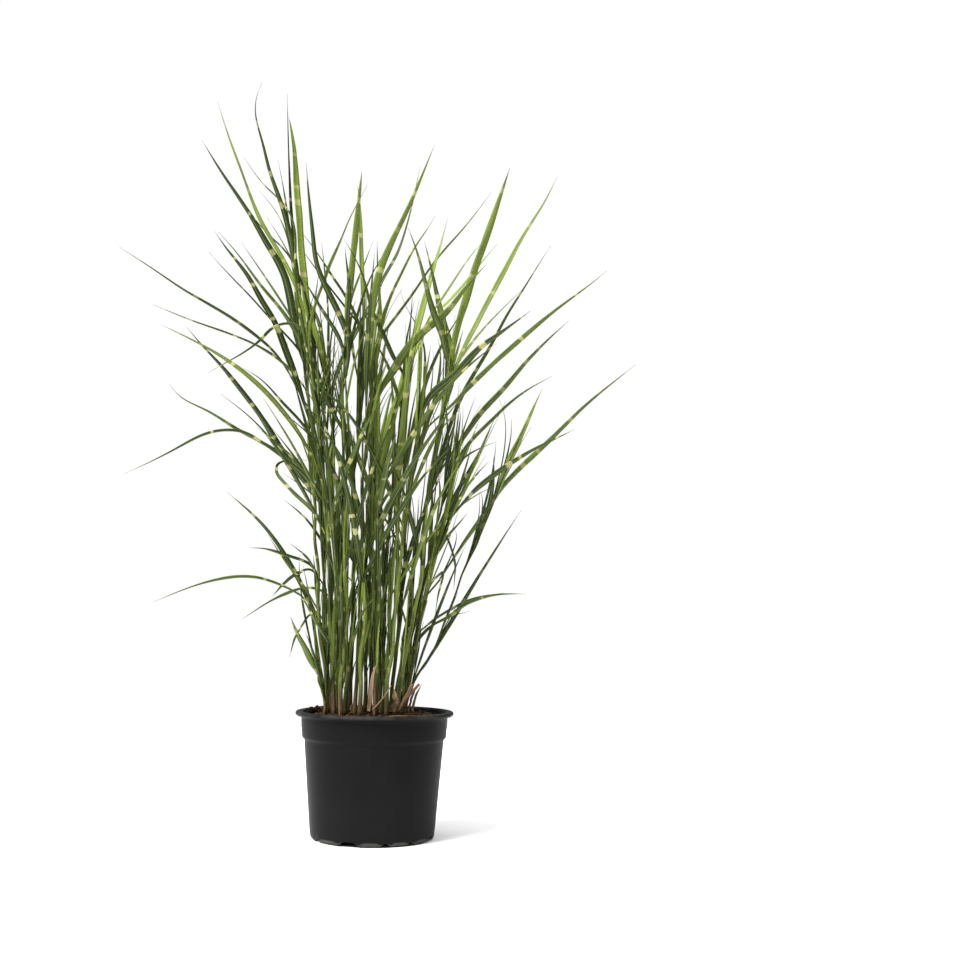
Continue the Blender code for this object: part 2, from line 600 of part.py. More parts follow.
def make_soil():
    rng = random.Random(5)
    floor = BASE_CLEARANCE + FLOOR + GAP
    edge = COLLAR_TOP_RADIUS - WALL - GAP - 0.3
    rings = [
        (wall_radius(floor) - WALL - GAP, floor),
        (WALL_TOP_RADIUS - WALL - GAP, STEP_HEIGHT - 0.8),
        (COLLAR_FOOT_RADIUS - WALL - GAP, STEP_HEIGHT + 2.7),
        (edge, SOIL_EDGE_TOP),
        (edge - 6.0, SOIL_EDGE_TOP + 1.2),
        (edge - 13.0, SOIL_EDGE_TOP + 2.2),
        (CROWN_RADIUS, SOIL_TOP),
    ]

    def crumbled(ring, side, height):
        """Uneven top outside the crown, with lumps against the rim at the back left."""
        if ring in (4, 5):
            lump = 6.5 if ring == 4 and side in (12, 13, 15) else 0.0
            return height + rng.uniform(-1.2, 1.6) + lump
        return height

    verts, faces = lathe(rings, POT_SIDES, crumbled)
    return make_object("soil", verts, faces, make_material("peat", (0.045, 0.022, 0.012), 0.95))


def tube(line, radii, sides, flat_foot=False):
    """Verts and faces of a closed tube along a line."""
    along = tangents(np.array(line))
    side = unit(np.cross(along[0], [0.0, 1.0, 0.2]))
    verts, faces = [], []
    for k, (p, t) in enumerate(zip(line, along)):
        if k == 0 and flat_foot:
            t = np.array([0.0, 0.0, 1.0])
        side = unit(side - t * np.dot(side, t))
        other = np.cross(t, side)
        for i in range(sides):
            angle = 2.0 * math.pi * i / sides
            verts.append(p + radii[k] * (math.cos(angle) * side + math.sin(angle) * other))
    for k in range(len(line) - 1):
        for i in range(sides):
            j = (i + 1) % sides
            a = k * sides
            faces.append((a + i, a + j, a + sides + j, a + sides + i))
    faces.append(tuple(range(sides)))
    faces.append(tuple(range(len(verts) - sides, len(verts))))
    return verts, faces


def blade_stations(line):
    """Sample numbers along a blade: more where it bends."""
    along = tangents(line)
    turns = np.arccos(np.clip((along[1:] * along[:-1]).sum(1), -1.0, 1.0))
    bend = np.concatenate([[0.0], np.cumsum(turns)])
    length = np.linspace(0.0, 1.0, len(line))
    turning = bend[-1]
    count = int(min(max(4 + round(math.degrees(turning) / 26.0), 4), 8))
    measure = length + bend * 0.6
    measure = measure / measure[-1]
    marks = np.linspace(0.0, 1.0, count + 1)
    return sorted({int(np.argmin(np.abs(measure - m))) for m in marks})


def blade_mesh(blade):
    """Verts and faces of a folded blade that ends in a point."""
    line = blade["line"]
    picks = blade_stations(line)
    total = len(line) - 1
    verts, faces = [], []
    for k in picks[:-1]:
        width = blade["width"] * float(blade_width(np.array(k / total)))
        thick = BLADE_THICKNESS * (0.5 + 0.5 * width / blade["width"])
        p, across, face = line[k], blade["across"][k], blade["face"][k]
        fold = BLADE_FOLD * width
        verts.append(p - across * width / 2 + face * fold)
        verts.append(p - face * thick / 2)
        verts.append(p + across * width / 2 + face * fold)
        verts.append(p + face * thick / 2)
    verts.append(line[-1])
    rings = len(picks) - 1
    for k in range(rings - 1):
        for i in range(4):
            j = (i + 1) % 4
            faces.append((4 * k + i, 4 * k + j, 4 * k + 4 + j, 4 * k + 4 + i))
    last = 4 * (rings - 1)
    for i in range(4):
        faces.append((last + i, last + (i + 1) % 4, len(verts) - 1))
    faces.append((3, 2, 1, 0))
    return verts, faces


def make_grass(parent):
    stems, blades = plan_clump()
    rng = random.Random(3)
    for index, stem in enumerate(stems):
        shade = rng.uniform(0.8, 1.2)
        color = (0.085 * shade, 0.12 * shade, 0.035 * shade)
        green = make_material(f"stem_green_{index + 1:02d}", color, 0.5)
        line = stem["line"]
        count = max(3, int(round((line[-1][2] - line[0][2]) / 58.0)) + 1)
        picks = sorted({int(round(v)) for v in np.linspace(0, len(line) - 1, count)})
        points = line[picks]
        verts, faces = tube(points, culm_radius(stem, points[:, 2]), CULM_SIDES, True)
        obj = make_object(f"stem_{index + 1:02d}", verts, faces, green)
        sides = [b for b in blades if b["stem"] == index and not b["top"]]
        tools = [make_object("side_blade", *blade_mesh(b)) for b in sides]
        if tools:
            boolean(obj, tools, "UNION")
        settle(obj, line[0], parent)
    for blade in blades:
        if blade["top"]:
            number = blade["stem"] + 1
            shade = rng.uniform(0.8, 1.25)
            color = (0.075 * shade, 0.125 * shade, 0.03 * shade)
            green = make_material(f"leaf_green_{number:02d}", color, 0.5)
            obj = make_object(f"leaf_{number:02d}", *blade_mesh(blade), green)
            settle(obj, blade["line"][0], parent)


def make_dry_pieces(parent):
    """Last year's remains at the foot of the clump, in front of the culms."""
    tan = make_material("dry_sheath_tan", (0.36, 0.21, 0.12), 0.8)
    line = spline([at_depth(-7.6, 150.5, -44), at_depth(-4, 180, -45), at_depth(3, 211, -48)], 4.0)
    strip = {"line": line, "width": 6.0, "across": np.tile([1.0, 0.0, -0.2], (len(line), 1)),
             "face": np.tile([0.0, -1.0, 0.0], (len(line), 1))}
    sheath = make_object("dry_sheath", *blade_mesh(strip), tan)
    settle(sheath, line[0], parent)

    pale = make_material("dry_straw_pale", (0.5, 0.34, 0.22), 0.8)
    line = spline([at_depth(-3, 151.5, -52), at_depth(8, 163, -54), at_depth(17, 178, -56)], 4.0)
    straw = make_object("dry_straw", *tube(line[::3], [1.1] * len(line[::3]), 4), pale)
    settle(straw, line[0], parent)

    brown = make_material("cut_cane_brown", (0.2, 0.11, 0.06), 0.85)
    line = np.array([at_depth(29, 150.5, -42), at_depth(37, 166, -43), at_depth(45, 182, -44)])
    cane = make_object("cut_cane", *tube(line, [2.6, 2.4, 2.2], 6), brown)
    side = np.array([at_depth(34, 160, -43), at_depth(43, 170, -44), at_depth(53, 182, -46)])
    boolean(cane, [make_object("cane_side", *tube(side, [1.4, 1.6, 1.3], 5))], "UNION")
    settle(cane, line[0], parent)

    rust = make_material("dry_husk_rust", (0.28, 0.14, 0.08), 0.85)
    line = spline([at_depth(20, 151, -44), at_depth(24, 162, -46), at_depth(22, 177, -47)], 4.0)
    curl = {"line": line, "width": 7.5, "across": np.tile([0.95, 0.3, 0.0], (len(line), 1)),
            "face": np.tile([0.3, -0.95, 0.0], (len(line), 1))}
    husk = make_object("dry_husk", *blade_mesh(curl), rust)
    settle(husk, line[0], parent)


def main():
    for obj in list(bpy.data.objects):
        bpy.data.objects.remove(obj)
    clump = bpy.data.objects.new("potted_grass", None)
    bpy.context.collection.objects.link(clump)
    make_pot().parent = clump
    make_soil().parent = clump
    make_grass(clump)
    make_dry_pieces(clump)


if __name__ == "__main__":
    main()
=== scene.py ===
"""Looks of the potted miscanthus clump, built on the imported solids: fine leaf blades, culms with
their sheaths, dry remains, crumbled soil and the moulded nursery pot.

Sizes in the constants and tables are millimetres; objects are made in metres. The plan of stems
and blades is the same as in the part's source, so that the fine blades lie on the solids.
"""

import itertools
import math
import random

import bpy
import numpy as np
from mathutils import Matrix, Vector, kdtree


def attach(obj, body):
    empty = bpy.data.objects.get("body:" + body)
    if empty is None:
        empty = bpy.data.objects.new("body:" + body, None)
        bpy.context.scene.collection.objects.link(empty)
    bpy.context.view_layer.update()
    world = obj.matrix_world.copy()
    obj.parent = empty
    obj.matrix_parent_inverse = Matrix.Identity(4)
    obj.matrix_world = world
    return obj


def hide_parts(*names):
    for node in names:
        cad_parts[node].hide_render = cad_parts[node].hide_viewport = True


for name in ("Cube", "Light", "Camera"):
    if name in bpy.data.objects:
        bpy.data.objects.remove(bpy.data.objects[name])

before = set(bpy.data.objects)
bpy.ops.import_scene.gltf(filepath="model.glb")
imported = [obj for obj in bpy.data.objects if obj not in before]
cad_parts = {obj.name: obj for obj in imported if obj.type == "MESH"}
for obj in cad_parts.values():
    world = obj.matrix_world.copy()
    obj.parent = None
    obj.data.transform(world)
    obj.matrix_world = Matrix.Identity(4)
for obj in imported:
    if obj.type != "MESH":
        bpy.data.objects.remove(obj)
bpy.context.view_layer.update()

MM = 0.001
GAP = 0.4
PLACING_SEED = 11
CLUMP_SEED = 21
DRY_SEED = 9
SOIL_SEED = 5

# Pot
POT_HEIGHT = 150.0
RIM_RADIUS = 95.0
LIP_HEIGHT = 5.6
COLLAR_TOP_RADIUS = 88.0
COLLAR_FOOT_RADIUS = 86.6
STEP_HEIGHT = 117.0
WALL_TOP_RADIUS = 83.8
BASE_RADIUS = 74.2
WALL = 1.8
FOOT_RING_WIDTH = 7.0
BASE_CLEARANCE = 6.4
FLOOR = 2.6
DRAIN_HOLES = 8
DRAIN_HOLE_RADIUS = 4.5
DRAIN_HOLE_RING = 50.0
POT_ROUND = 192
LIP_ROUNDING = 2.6
FOOT_ROUNDING = 4.4
# Drain notches of the foot: degrees from the front toward the viewer's right, half width
NOTCHES = [(-63, 3.5), (-22.5, 8.5), (12.4, 2.4), (38.2, 2.0), (71, 8.0), (112, 3.5), (157, 8.5),
           (-168, 3.5), (-124, 7.5)]

# Soil
SOIL_TOP = 146.0
SOIL_EDGE_TOP = 142.5
CROWN_RADIUS = 64.0
SOIL_REACH = 83.5  # crumbs and fibres lie within this radius
SOIL_ROUND = 96
HUMMOCKS = 260
CRUMBS = 2100
CRUMB_SIZES = (0.6, 0.9, 1.3, 1.9, 2.6)
CRUMB_SHARES = (0.3, 0.3, 0.22, 0.13, 0.05)
FIBRES = 230
# Lumps at the rim: degrees from +X toward +Y, distance from the axis, size, height
LUMPS = [(146, 77, 7, 6.5), (157, 79, 6, 5.5), (133, 80, 5, 5.0), (80, 79, 6, 2.5)]
# Heaps of crumbs on them: degrees, distance from the axis
HEAPS = [(146, 76), (152, 78), (158, 78), (131, 79), (137, 77), (127, 80), (80, 79)]
HEAP_CRUMBS = 9
BLACK_CRUMBS = 60
BLACK_SEED = 0.073  # a seed that looks black in the soil material

# Clump: the eye that the front view was read from, and the way blades reach in depth
EYE_DISTANCE = 1600.0
EYE_HEIGHT = 268.0
HALF_DEPTH = 262.0
CLEARANCE = 1.6

# Camera: the photo's viewpoint, turned in degrees
YAW = -4.413
PITCH = 5.864
ROLL = 0.796
FOCAL_MM = 48.87
SENSOR_MM = 36.0

# Studio, in metres: floor, strength of the light from all round, and for each sun its place,
# its angle as seen from the plant in degrees, and its power
FLOOR_RADIUS = 1.5
FLOOR_CORNERS = 64
FILL_LIGHT = 0.34
SUNS = [("key", (-1.7, -1.3, 2.1), 30.0, 5.4), ("top", (-0.2, 0.1, 2.8), 80.0, 2.8)]

# Blade section: place across the blade from edge to edge over the top, then back under it
ACROSS = np.array([-1.0, -0.55, 0.0, 0.55, 1.0, 0.55, 0.0, -0.55])
TOP_SIDE = np.array([1, 1, 1, 1, 0, 0, 0, 0])
ACROSS_U = np.array([0.0, 0.225, 0.5, 0.775, 1.0, 0.775, 0.5, 0.225, 0.0])
SEEN_WIDTH = 1.03
TOP_WIDTH = 1.1

# Culm: sides of its tube; least distances of a collar from the foot, the top and the next collar
CULM_ROUND = 12
COLLAR_FROM_FOOT = 25.0
COLLAR_FROM_TOP = 8.0
COLLAR_APART = 22.0

# Seeds carry the tone of each culm and blade
LAST_SEED = 0.98
YOUNG_SEED = 0.3  # seeds below this are small blades with hardly any bands
TONE_TURNS = 7.31  # a blade's tone is the fraction of its seed times this
CULM_TURNS = 5.3  # the same for a culm

# Darkest and lightest tone of culms and blades, by where they grow and which way they lean: painted shade at
# the back and on blades leaning left, painted light on the rest
SHADED_BACK_CULM = (0.02, 0.5)
LIT_FRONT_CULM = (0.08, 0.95)
SHADED_BLADE = (0.02, 0.55)
LIT_BLADE = (0.2, 0.8)
LIT_YOUNG = (0.25, 0.96)

# How light the top blades are made, by number, after how each looks from the front: partly their own tone,
# partly painted shade and painted light; the rest are between
DARK_BLADES = (1, 4, 8, 15, 20, 24)
LIGHT_BLADES = (3, 5, 6, 7, 9, 10, 11, 13, 18, 21, 25)
# Top blades that taper in their own way: where the taper starts, its power
TAPERS = {1: (0.2, 0.8), 5: (0.55, 4.0), 6: (0.5, 2.5), 7: (0.5, 2.5), 18: (0.45, 2.2)}

# Small blades of each culm: lowest and highest foot, length, share of their lean seen from the
# front, number. Culms below TALL_CULM carry about a third of them.
YOUNG = [(148.0, 230.0, (40.0, 130.0), 0.5, 3), (160.0, 330.0, (80.0, 230.0), 0.3, 5),
         (200.0, 420.0, (60.0, 150.0), 0.8, 3), (320.0, 560.0, (70.0, 210.0), 0.5, 5),
         (450.0, 640.0, (80.0, 190.0), 0.7, 3), (560.0, 720.0, (60.0, 150.0), 0.6, 2)]
YOUNG_WIDTH = (1.5, 5.0)
TALL_CULM = 380.0

# Stems as seen from the front: depth at the foot, depth at the top, radius at the foot, then x and
# height of each point from the soil up. Depth grows away from the viewer.
STEMS = [
    (5, -15, 3.2, -57, 146, -62, 200, -67, 250, -72, 300, -77, 350, -81, 400, -88, 500, -101, 600),
    (22, 45, 2.9, -54, 146, -59, 230, -64, 300, -68, 360, -69, 420, -74, 480, -82, 540),
    (-14, -50, 3.0, -49, 146, -53, 220, -58, 300, -63, 380, -70, 450, -80, 520, -92, 590),
    (36, 80, 2.8, -45, 146, -47, 230, -52, 310, -58, 390, -63, 450, -70, 510),
    (8, 10, 2.9, -41, 146, -43, 250, -49, 350, -57, 450, -66, 540),
    (-27, -70, 3.0, -36, 146, -36, 250, -40, 350, -45, 450, -47, 540, -46, 600),
    (14, 35, 2.9, -30, 146, -29, 250, -31, 350, -31, 450, -28, 540, -25, 600),
    (-10, -35, 2.9, -24, 146, -21, 250, -24, 330, -31, 410, -42, 480),
    (-34, -85, 3.0, -18, 146, -17, 250, -19, 350, -20, 450, -18, 550),
    (34, 95, 2.8, -12, 146, -12, 250, -14, 350, -12, 450, -10, 560),
    (4, -5, 3.0, -7, 146, -5, 250, -8, 350, -5, 440),
    (-22, -60, 3.0, 0, 146, 1, 250, -2, 350, -6, 440, -10, 500),
    (26, 70, 2.8, 5, 146, 8, 250, 11, 350, 18, 450, 27, 530),
    (-6, -20, 3.0, 10, 146, 14, 250, 20, 350, 27, 450, 31, 540),
    (-30, -80, 3.0, 14, 146, 20, 250, 28, 340, 37, 420, 46, 500),
    (10, 25, 2.9, 19, 146, 27, 250, 33, 350, 38, 415, 46, 460, 57, 495),
    (36, 100, 2.7, 23, 146, 36, 250, 46, 340, 58, 400, 68, 430),
    (-16, -55, 3.1, 26, 146, 33, 200, 43, 250, 50, 310, 56, 380, 65, 450, 74, 510, 84, 560),
    (18, 45, 2.8, 30, 146, 40, 210, 50, 270, 60, 330, 71, 380, 84, 430),
    (-4, -20, 2.9, 33, 146, 42, 200, 52, 250, 62, 300, 74, 345, 88, 383),
    (8, 20, 1.9, 37, 148, 43, 180, 64, 214, 77, 246, 100, 300, 118, 350, 137, 400),
    (30, 60, 2.5, 31, 146, 40, 200, 50, 255, 60, 285, 76, 309),
    (-12, -22, 2.3, -60, 146, -63, 170, -69, 190),
    (44, 110, 2.7, -33, 146, -37, 250, -45, 320, -62, 385),
    (45, 120, 2.7, 3, 146, 4, 260, 0, 360, -5, 450, -10, 530),
    (-36, -75, 2.9, -40, 146, -44, 240, -52, 330, -62, 400, -72, 430),
    (40, 70, 2.7, -50, 146, -54, 240, -60, 320, -68, 385),
]

# The blade at the top of each stem, in the same order: width as seen, then x and height of each point
# to the tip.
TOP_BLADES = [
    (9.5, -106, 650, -113, 700, -131, 775, -146, 815, -157, 855, -166, 890, -165, 912, -159, 930),
    (4.0, -98, 590, -121, 631, -152, 668, -180, 705, -207, 736),
    (4.5, -100, 640, -125, 700, -156, 752, -178, 805, -199, 860, -213, 902),
    (9.0, -80, 540, -95, 575, -112, 630, -128, 690, -146, 720, -165, 752, -197, 799, -231, 852),
    (7.5, -80, 600, -94, 640, -100, 680, -105, 720, -108, 753, -112, 790, -118, 850, -124, 887),
    (7.0, -44, 648, -39, 702, -35, 760, -31, 820),
    (5.0, -25, 640, -29, 700, -32, 757, -36, 802),
    (8.0, -55, 503, -68, 527, -80, 555, -90, 590, -98, 625, -105, 662),
    (7.0, -14, 620, -6, 690, 3, 716, 20, 755, 36, 794, 49, 829, 60, 859),
    (5.0, -5, 605, -5, 640, -9, 702, -10, 731),
    (8.5, 2, 465, 9, 498, 20, 528, 32, 575, 45, 630, 58, 685, 69, 725, 78, 764),
    (9.0, 0, 543, 12, 562, 23, 581, 35, 599, 52, 618, 77, 641, 109, 684, 128, 706),
    (4.5, 36, 580, 60, 633, 82, 657, 112, 695, 141, 733),
    (4.5, 27, 560, 16, 579, -4, 620, -14, 640, -27, 685, -43, 718, -52, 733),
    (8.0, 60, 535, 91, 564, 118, 595, 140, 613, 184, 648),
    (5.5, 66, 505, 86, 524, 111, 551, 149, 589, 193, 630, 230, 661, 264, 688, 281, 703),
    (6.0, 80, 451, 100, 481, 122, 514, 150, 546, 176, 578, 206, 611, 233, 637),
    (8.0, 93, 620, 102, 654, 112, 691, 124, 728, 134, 760, 147, 803, 156, 832),
    (4.0, 104, 470, 136, 506, 161, 531, 186, 550, 213, 566),
    (5.5, 98, 397, 132, 432, 150, 446, 199, 477, 226, 491, 241, 499),
    (6.5, 146, 418, 157, 450, 173, 485, 187, 519, 200, 549),
    (6.0, 92, 334, 115, 369, 129, 389, 150, 421, 176, 451, 215, 489, 250, 525, 290, 560, 318, 583),
    (6.5, -80, 211, -89, 228, -97, 243, -104, 261),
    (7.5, -84, 415, -97, 432, -114, 453, -145, 500, -169, 532, -198, 567, -222, 592, -241, 614),
    (4.5, -8, 590, 7, 655, 21, 689, 38, 725, 55, 753, 62, 766),
    (5.0, -89, 466, -111, 499, -142, 535, -186, 571, -222, 592, -272, 616),
    (4.5, -90, 430, -118, 456, -150, 475, -175, 488, -216, 512, -250, 531, -259, 542),
]

# Side blades read from the photo: stem, height where the blade leaves it, width as seen, then x and
# height of each point to the tip.
SIDE_BLADES = [
    (0, 560, 4.5, -108, 650, -113, 718, -117, 752, -121, 800, -124, 850, -127, 917),
    (0, 500, 8.0, -108, 558, -124, 598, -134, 621, -150, 648, -170, 682, -198, 717, -212, 737),
    (0, 585, 3.0, -108, 680, -116, 720, -127, 786, -136, 830),
    (0, 572, 3.0, -112, 690, -124, 769, -150, 795, -178, 832),
    (0, 300, 4.0, -77, 318, -105, 333, -139, 343, -156, 344),
    (0, 258, 3.5, -89, 284, -118, 299, -150, 308, -191, 305, -230, 293, -268, 277),
    (0, 305, 2.5, -83, 327, -108, 350),
    (0, 252, 2.0, -77, 264, -88, 253, -95, 241, -104, 213),
    (1, 500, 3.5, -100, 533, -123, 572, -154, 603, -196, 632, -249, 662, -278, 681, -327, 712),
    (1, 515, 3.0, -100, 548, -132, 579, -171, 600, -229, 620, -283, 641),
    (1, 250, 3.0, -76, 277, -100, 311, -120, 338, -134, 360),
    (1, 296, 4.0, -83, 318, -92, 316, -101, 311, -114, 300, -127, 285),
    (2, 580, 3.5, -112, 621, -134, 617, -149, 602, -188, 573, -213, 558),
    (2, 555, 2.5, -105, 640, -115, 700, -135, 761, -158, 790),
    (2, 540, 3.0, -90, 615, -105, 680, -129, 719, -144, 733, -173, 768),
    (2, 225, 4.0, -75, 257, -89, 281, -97, 293),
    (2, 400, 3.0, -85, 430, -103, 461, -121, 491, -145, 528),
    (3, 440, 4.0, -78, 470, -93, 492, -122, 523, -150, 552, -171, 565),
    (3, 490, 3.0, -88, 560, -105, 590, -135, 622, -158, 647, -197, 687, -217, 709),
    (3, 280, 3.5, -66, 292, -85, 296, -102, 292, -131, 278, -163, 257),
    (3, 355, 5.0, -82, 391, -100, 407, -118, 425, -127, 439, -126, 446, -118, 451, -103, 454, -86, 451),
    (4, 520, 5.0, -75, 600, -83, 632, -93, 650, -101, 668, -108, 690),
    (4, 505, 3.5, -68, 575, -69, 628, -74, 686, -79, 726),
    (4, 510, 3.0, -80, 560, -100, 605, -123, 643, -152, 686, -178, 723),
    (4, 530, 2.5, -88, 620, -110, 690, -127, 724, -148, 757),
    (3, 470, 5.5, -65, 510, -59, 550, -41, 598, -20, 641, 1, 687, 14, 712, 26, 748, 42, 829),
    (2, 565, 3.5, -88, 630, -74, 678, -67, 700, -55, 730, -46, 755, -31, 788, -24, 803),
    (5, 545, 7.0, -45, 608, -58, 641, -72, 668, -84, 695, -90, 730, -96, 780, -101, 828),
    (5, 560, 5.0, -52, 599, -70, 631, -93, 668, -100, 680),
    (5, 585, 5.0, -44, 630, -43, 667, -48, 707, -50, 722),
    (6, 540, 4.0, -38, 600, -42, 640, -38, 663, -28, 693, -15, 731),
    (6, 575, 3.5, -31, 623, -46, 655, -66, 685, -83, 711, -107, 742),
    (7, 440, 5.0, -26, 480, -12, 520, 6, 560, 20, 590),
    (8, 520, 5.5, -19, 592, -16, 657, -13, 716),
    (9, 540, 3.0, -15, 590, -30, 622, -45, 641, -69, 671, -91, 700, -107, 722),
    (13, 380, 9.0, 21, 420, 26, 465, 30, 520, 34, 580, 42, 628),
    (13, 520, 2.5, 28, 570, 33, 627, 38, 657),
    (14, 480, 3.5, 48, 560, 54, 625, 73, 660, 89, 686, 108, 716, 125, 737),
    (15, 480, 3.0, 52, 560, 50, 600, 36, 634, 27, 650, 21, 666),
    (15, 485, 3.5, 75, 545, 95, 580, 116, 611, 136, 635, 159, 660, 178, 679),
    (16, 395, 5.0, 80, 480, 101, 540, 122, 579, 137, 606, 155, 642, 174, 674, 190, 701, 209, 733),
    (17, 520, 7.5, 85, 569, 79, 588, 73, 613, 63, 639, 49, 686, 36, 730, 28, 750),
    (17, 545, 7.0, 84, 595, 75, 629, 64, 672, 54, 714, 49, 733),
    (17, 525, 6.0, 98, 590, 113, 621, 132, 660, 154, 705, 177, 749, 201, 790, 217, 824),
    (18, 405, 5.0, 92, 442, 102, 460, 121, 507),
    (18, 395, 3.5, 87, 440, 111, 465, 143, 481),
    (18, 320, 7.0, 72, 365, 89, 403, 103, 430, 117, 456, 137, 500),
    (19, 372, 3.0, 103, 415, 125, 446, 134, 456),
    (19, 325, 4.0, 84, 360, 96, 375, 109, 392),
    (19, 340, 2.5, 78, 366, 89, 347, 94, 318, 93, 296),
    (19, 285, 2.0, 70, 312, 79, 318, 77, 300, 71, 262),
    (20, 380, 5.0, 137, 410, 140, 430, 140, 463),
    (21, 232, 4.0, 59, 247, 74, 256, 90, 265, 105, 277, 125, 286, 145, 291, 182, 293),
    (21, 240, 3.5, 70, 260, 91, 273, 115, 285, 155, 294),
    (21, 215, 3.0, 55, 240, 75, 257, 93, 265, 113, 271),
    (22, 172, 3.0, -72, 203, -80, 228, -87, 245),
    (24, 500, 4.0, -5, 600, 23, 645, 43, 675, 63, 707, 99, 752, 133, 800),
    (1, 385, 4.0, -85, 425, -110, 448, -140, 469, -166, 484, -186, 487, -213, 482, -250, 462, -309, 431),
]

# Two blades that reach farthest toward and away from the viewer: stem, height, width as seen, depth of
# the tip, then the points.
DEEP_BLADES = [
    (11, 380, 7.0, -HALF_DEPTH, 6, 430, 14, 470, 20, 490),
    (9, 400, 7.0, HALF_DEPTH, -8, 470, -5, 520, 0, 560),
]

# Side blades added by rule: stems that carry them, the heights between which they leave, their
# length, width as seen, lean at the foot and bend in degrees.
FILL_STEMS = [2, 5, 7, 8, 10, 11, 12, 13, 14, 6, 9, 16, 24, 25, 23, 15, 17, 4, 12, 10, 8, 13, 5, 11, 24, 14,
              26, 7, 9]
FILL_HEIGHT = (215.0, 430.0)
FILL_LENGTH = (120.0, 250.0)
FILL_WIDTH = (3.5, 7.0)
FILL_LEAN = (8.0, 30.0)
FILL_BEND = (5.0, 30.0)
FILL_TRIES = 6


def pairs(numbers):
    return list(zip(numbers[::2], numbers[1::2]))


def unit(v):
    return v / max(np.linalg.norm(v), 1e-9)


def unit_rows(rows, least=0.0):
    return rows / np.maximum(np.linalg.norm(rows, axis=1), least)[:, None]


def tangents(line):
    return unit_rows(np.gradient(line, axis=0))


def arc_length(line):
    """Distance along the line from its start to each of its points."""
    return np.concatenate([[0.0], np.cumsum(np.linalg.norm(np.diff(line, axis=0), axis=1))])


def nearest(values, value):
    return int(np.argmin(np.abs(values - value)))


def at_depth(x, height, depth):
    """The point at this depth that the front view shows at (x, height)."""
    s = (EYE_DISTANCE + depth) / EYE_DISTANCE
    return np.array([x * s, depth, EYE_HEIGHT + (height - EYE_HEIGHT) * s])


def front_view(points):
    """The x and height at which the front view shows a point, or each point of a line."""
    s = (EYE_DISTANCE + points[..., 1]) / EYE_DISTANCE
    return points[..., 0] / s, EYE_HEIGHT + (points[..., 2] - EYE_HEIGHT) / s


def spline(points, step):
    """Natural cubic spline through the points, sampled about every step."""
    p = np.array(points, dtype=float)
    n = len(p)
    d = np.maximum(np.linalg.norm(np.diff(p, axis=0), axis=1), 1e-6)
    t = np.concatenate([[0.0], np.cumsum(d)])
    a = np.zeros((n, n))
    b = np.zeros((n, 3))
    a[0, 0] = a[-1, -1] = 1.0
    for i in range(1, n - 1):
        a[i, i - 1] = d[i - 1]
        a[i, i] = 2.0 * (d[i - 1] + d[i])
        a[i, i + 1] = d[i]
        b[i] = 6.0 * ((p[i + 1] - p[i]) / d[i] - (p[i] - p[i - 1]) / d[i - 1])
    m = np.linalg.solve(a, b)
    s = np.linspace(0.0, t[-1], max(int(t[-1] / step), 8) + 1)
    k = np.clip(np.searchsorted(t, s, side="right") - 1, 0, n - 2)
    u = (s - t[k])[:, None]
    w = (t[k + 1] - s)[:, None]
    h = d[k][:, None]
    curve = (m[k] * w**3 + m[k + 1] * u**3) / (6 * h)
    return curve + (p[k] / h - m[k] * h / 6) * w + (p[k + 1] / h - m[k + 1] * h / 6) * u


def culm_radius(stem, heights):
    """Culm with its sheaths: thickest at the foot, slim under the top blade."""
    u = np.clip((heights - SOIL_TOP) / max(stem["top"] - SOIL_TOP, 1.0), 0.0, 1.0)
    return 1.1 * stem["radius"] * (1.0 - 0.48 * u**1.5)


def tapering(start, power):
    """Width along a blade, as a share of its widest: narrow at the sheath, then a taper to the tip."""
    def shape(t):
        rise = np.clip(t / 0.3, 0.0, 1.0)
        rise = 0.35 + 0.65 * rise * rise * (3.0 - 2.0 * rise)
        return rise * (1.0 - np.clip((t - start) / (1.0 - start), 0.0, 1.0)**power)
    return shape


blade_width = tapering(0.4, 1.5)


class Clump:
    """Places every stem and blade and keeps them apart by their distances."""

    def __init__(self):
        self.points = []
        self.radii = []
        self.owners = []
        self.random = random.Random(PLACING_SEED)

    def register(self, line, radii, owner):
        self.points += list(line)
        self.radii += list(radii)
        self.owners += [owner] * len(line)
        self.tree = kdtree.KDTree(len(self.points))
        for i, p in enumerate(self.points):
            self.tree.insert(p, i)
        self.tree.balance()

    def crowding(self, line, radii, stem, own_from):
        """How much a line would press into what is placed; own parts count beyond own_from along it."""
        if not self.points:
            return 0.0
        total = 0.0
        arc = 0.0
        for i in range(len(line)):
            if i:
                arc += np.linalg.norm(line[i] - line[i - 1])
            for _, j, dist in self.tree.find_range(line[i], radii[i] + 7.5):
                if self.owners[j] == stem and arc < own_from:
                    continue
                need = radii[i] + self.radii[j] + CLEARANCE
                if dist < need:
                    total += need - dist
        return total


def least_crowded(candidates):
    """The first (score, ...) with the lowest score; a score of nothing ends the search."""
    best = None
    for candidate in candidates:
        if best is None or candidate[0] < best[0]:
            best = candidate
        if candidate[0] == 0.0:
            break
    return best


def stem_line(foot, top, radius, path):
    span = path[-1][1] - path[0][1]
    points = []
    for x, height in path:
        u = (height - path[0][1]) / span
        points.append(at_depth(x, height, foot + (top - foot) * u**1.3))
    points[0][2] = SOIL_TOP + GAP
    line = spline(points, 6.0)
    return {"line": line, "radius": radius, "top": line[-1][2]}


def make_stems(clump):
    def tried(foot, top, radius, *path):
        for shift in (0, 5, -5, 10, -10, 15, -15):
            for spread in (0, 12, -12, 24, -24, 40, -40):
                stem = stem_line(foot + shift, top + shift + spread, radius, pairs(path))
                girth = culm_radius(stem, stem["line"][:, 2])
                yield clump.crowding(stem["line"], girth + 0.2, -1, 0.0), stem, girth

    stems = []
    for index, values in enumerate(STEMS):
        _, stem, girth = least_crowded(tried(*values))
        clump.register(stem["line"], girth, index)
        stems.append(stem)
    return stems


